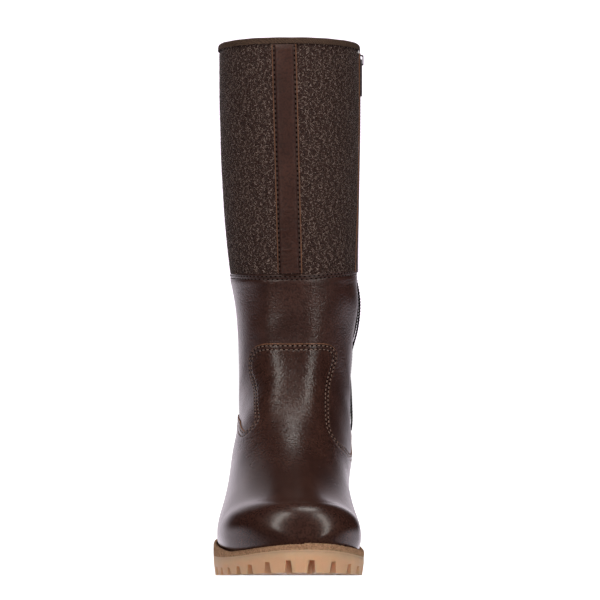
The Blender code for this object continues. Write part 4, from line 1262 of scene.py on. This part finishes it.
# Stage: pale floor, soft light and the camera
FLOOR_REACH = 4.0
floor_mesh = bpy.data.meshes.new("floor")
corners = [(-1, -1), (1, -1), (1, 1), (-1, 1)]
floor_mesh.from_pydata([(x * FLOOR_REACH, y * FLOOR_REACH, 0) for x, y in corners], [], [(0, 1, 2, 3)])
floor = bpy.data.objects.new("floor", floor_mesh)
bpy.context.scene.collection.objects.link(floor)
floor.visible_glossy = False
floor_finish = Finish("pale_floor", base_color=(0.8, 0.8, 0.8), roughness=0.9, specular_IOR_level=0.0,
                      emission_color=(1.0, 1.0, 1.0))
floor_seen = floor_finish.node("LightPath", {}).outputs["Is Camera Ray"]
floor_mesh.materials.append(floor_finish.done(emission_strength=floor_seen))

world = bpy.data.worlds.new("studio")
world.use_nodes = True
bpy.context.scene.world = world
studio = Nodes(world.node_tree)

# The white wall behind the boot is low and wider on the left, and the floor is pale beside and behind it
aim = studio.node("SeparateXYZ", {0: studio.node("TexCoord", {}).outputs["Generated"]}).outputs
wall = studio.ranged(studio.sum("MULTIPLY_ADD", aim["X"], -0.17, aim["Y"]), 0.74, 1.0, 0.0, 1.4)
wall = studio.sum("MULTIPLY", wall, studio.ranged(aim["Z"], 0.42, 0.64, 1.0, 0.12))
ground = studio.ranged(aim["Z"], -0.30, -0.02, 1.1, 0.0)
ground = studio.sum("MULTIPLY", ground, studio.ranged(aim["Y"], -0.3, 0.4))
glow = studio.sum("ADD", studio.sum("ADD", wall, ground), 0.012)
seen = studio.sum("MULTIPLY", studio.node("LightPath", {}).outputs["Is Camera Ray"], 1.2)
background = studio.tree.nodes["Background"]
studio.put(background.inputs["Color"], (1.0, 0.91, 1.0))
studio.put(background.inputs["Strength"], studio.sum("MAXIMUM", glow, seen))

# Lamps are strips between a low and a high end
Lamp = namedtuple("Lamp", "name low high width watts colour glossy")
LAMPS = (
    Lamp("above", (0.02, 0.07, 1.50), (0.30, 0.07, 1.50), 0.30, 2.2, (1.0, 0.97, 0.93), True),
    Lamp("front_left", (-1.036, -1.327, 0.40), (-0.266, -0.341, 1.53), 0.14, 8.0, (1.0, 0.96, 0.90), True),
    Lamp("front_right", (1.023, -1.358, 0.15), (0.392, -0.275, 1.52), 0.14, 8.0, (1.0, 0.96, 0.90), True),
    Lamp("back_left", (-0.695, 1.204, 0.61), (-0.482, 0.835, 1.20), 0.75, 0.6, (1.0, 0.95, 0.98), True),
    Lamp("fill", (0.0, -1.80, 0.10), (0.0, -1.80, 1.10), 1.20, 4.8, (1.0, 0.97, 0.94), False),
    Lamp("back_fill", (-0.5, 1.70, 0.20), (-0.5, 1.70, 1.20), 1.20, 5.0, (1.0, 0.97, 0.95), False),
)
LAMP_AIM = Vector((0.0, -0.05, 0.15))
for lamp in LAMPS:
    light = bpy.data.lights.new(lamp.name, "AREA")
    light.shape = "RECTANGLE"
    light.energy = lamp.watts
    light.color = lamp.colour
    run = Vector(lamp.high) - Vector(lamp.low)
    light.size, light.size_y = lamp.width, run.length
    middle = (Vector(lamp.low) + Vector(lamp.high)) / 2
    upward = run.normalized()
    away = middle - LAMP_AIM
    away = (away - upward * away.dot(upward)).normalized()
    holder = bpy.data.objects.new(lamp.name, light)
    turned = Matrix((upward.cross(away), upward, away)).transposed()
    holder.matrix_world = Matrix.Translation(middle) @ turned.to_4x4()
    holder.visible_camera = False
    holder.visible_glossy = lamp.glossy
    bpy.context.scene.collection.objects.link(holder)

CAMERA_PLACE = (0.0066, -2.126, 0.250)
CAMERA_TILT = 1.474
LENS = 175.8
SENSOR = 36.0
camera_data = bpy.data.cameras.new("camera")
camera_data.lens = LENS
camera_data.sensor_width = SENSOR
camera = bpy.data.objects.new("camera", camera_data)
camera.location = CAMERA_PLACE
camera.rotation_euler = (math.radians(90.0 - CAMERA_TILT), 0.0, 0.0)
bpy.context.scene.collection.objects.link(camera)
bpy.context.scene.camera = camera
bpy.context.scene.view_settings.view_transform = "Standard"
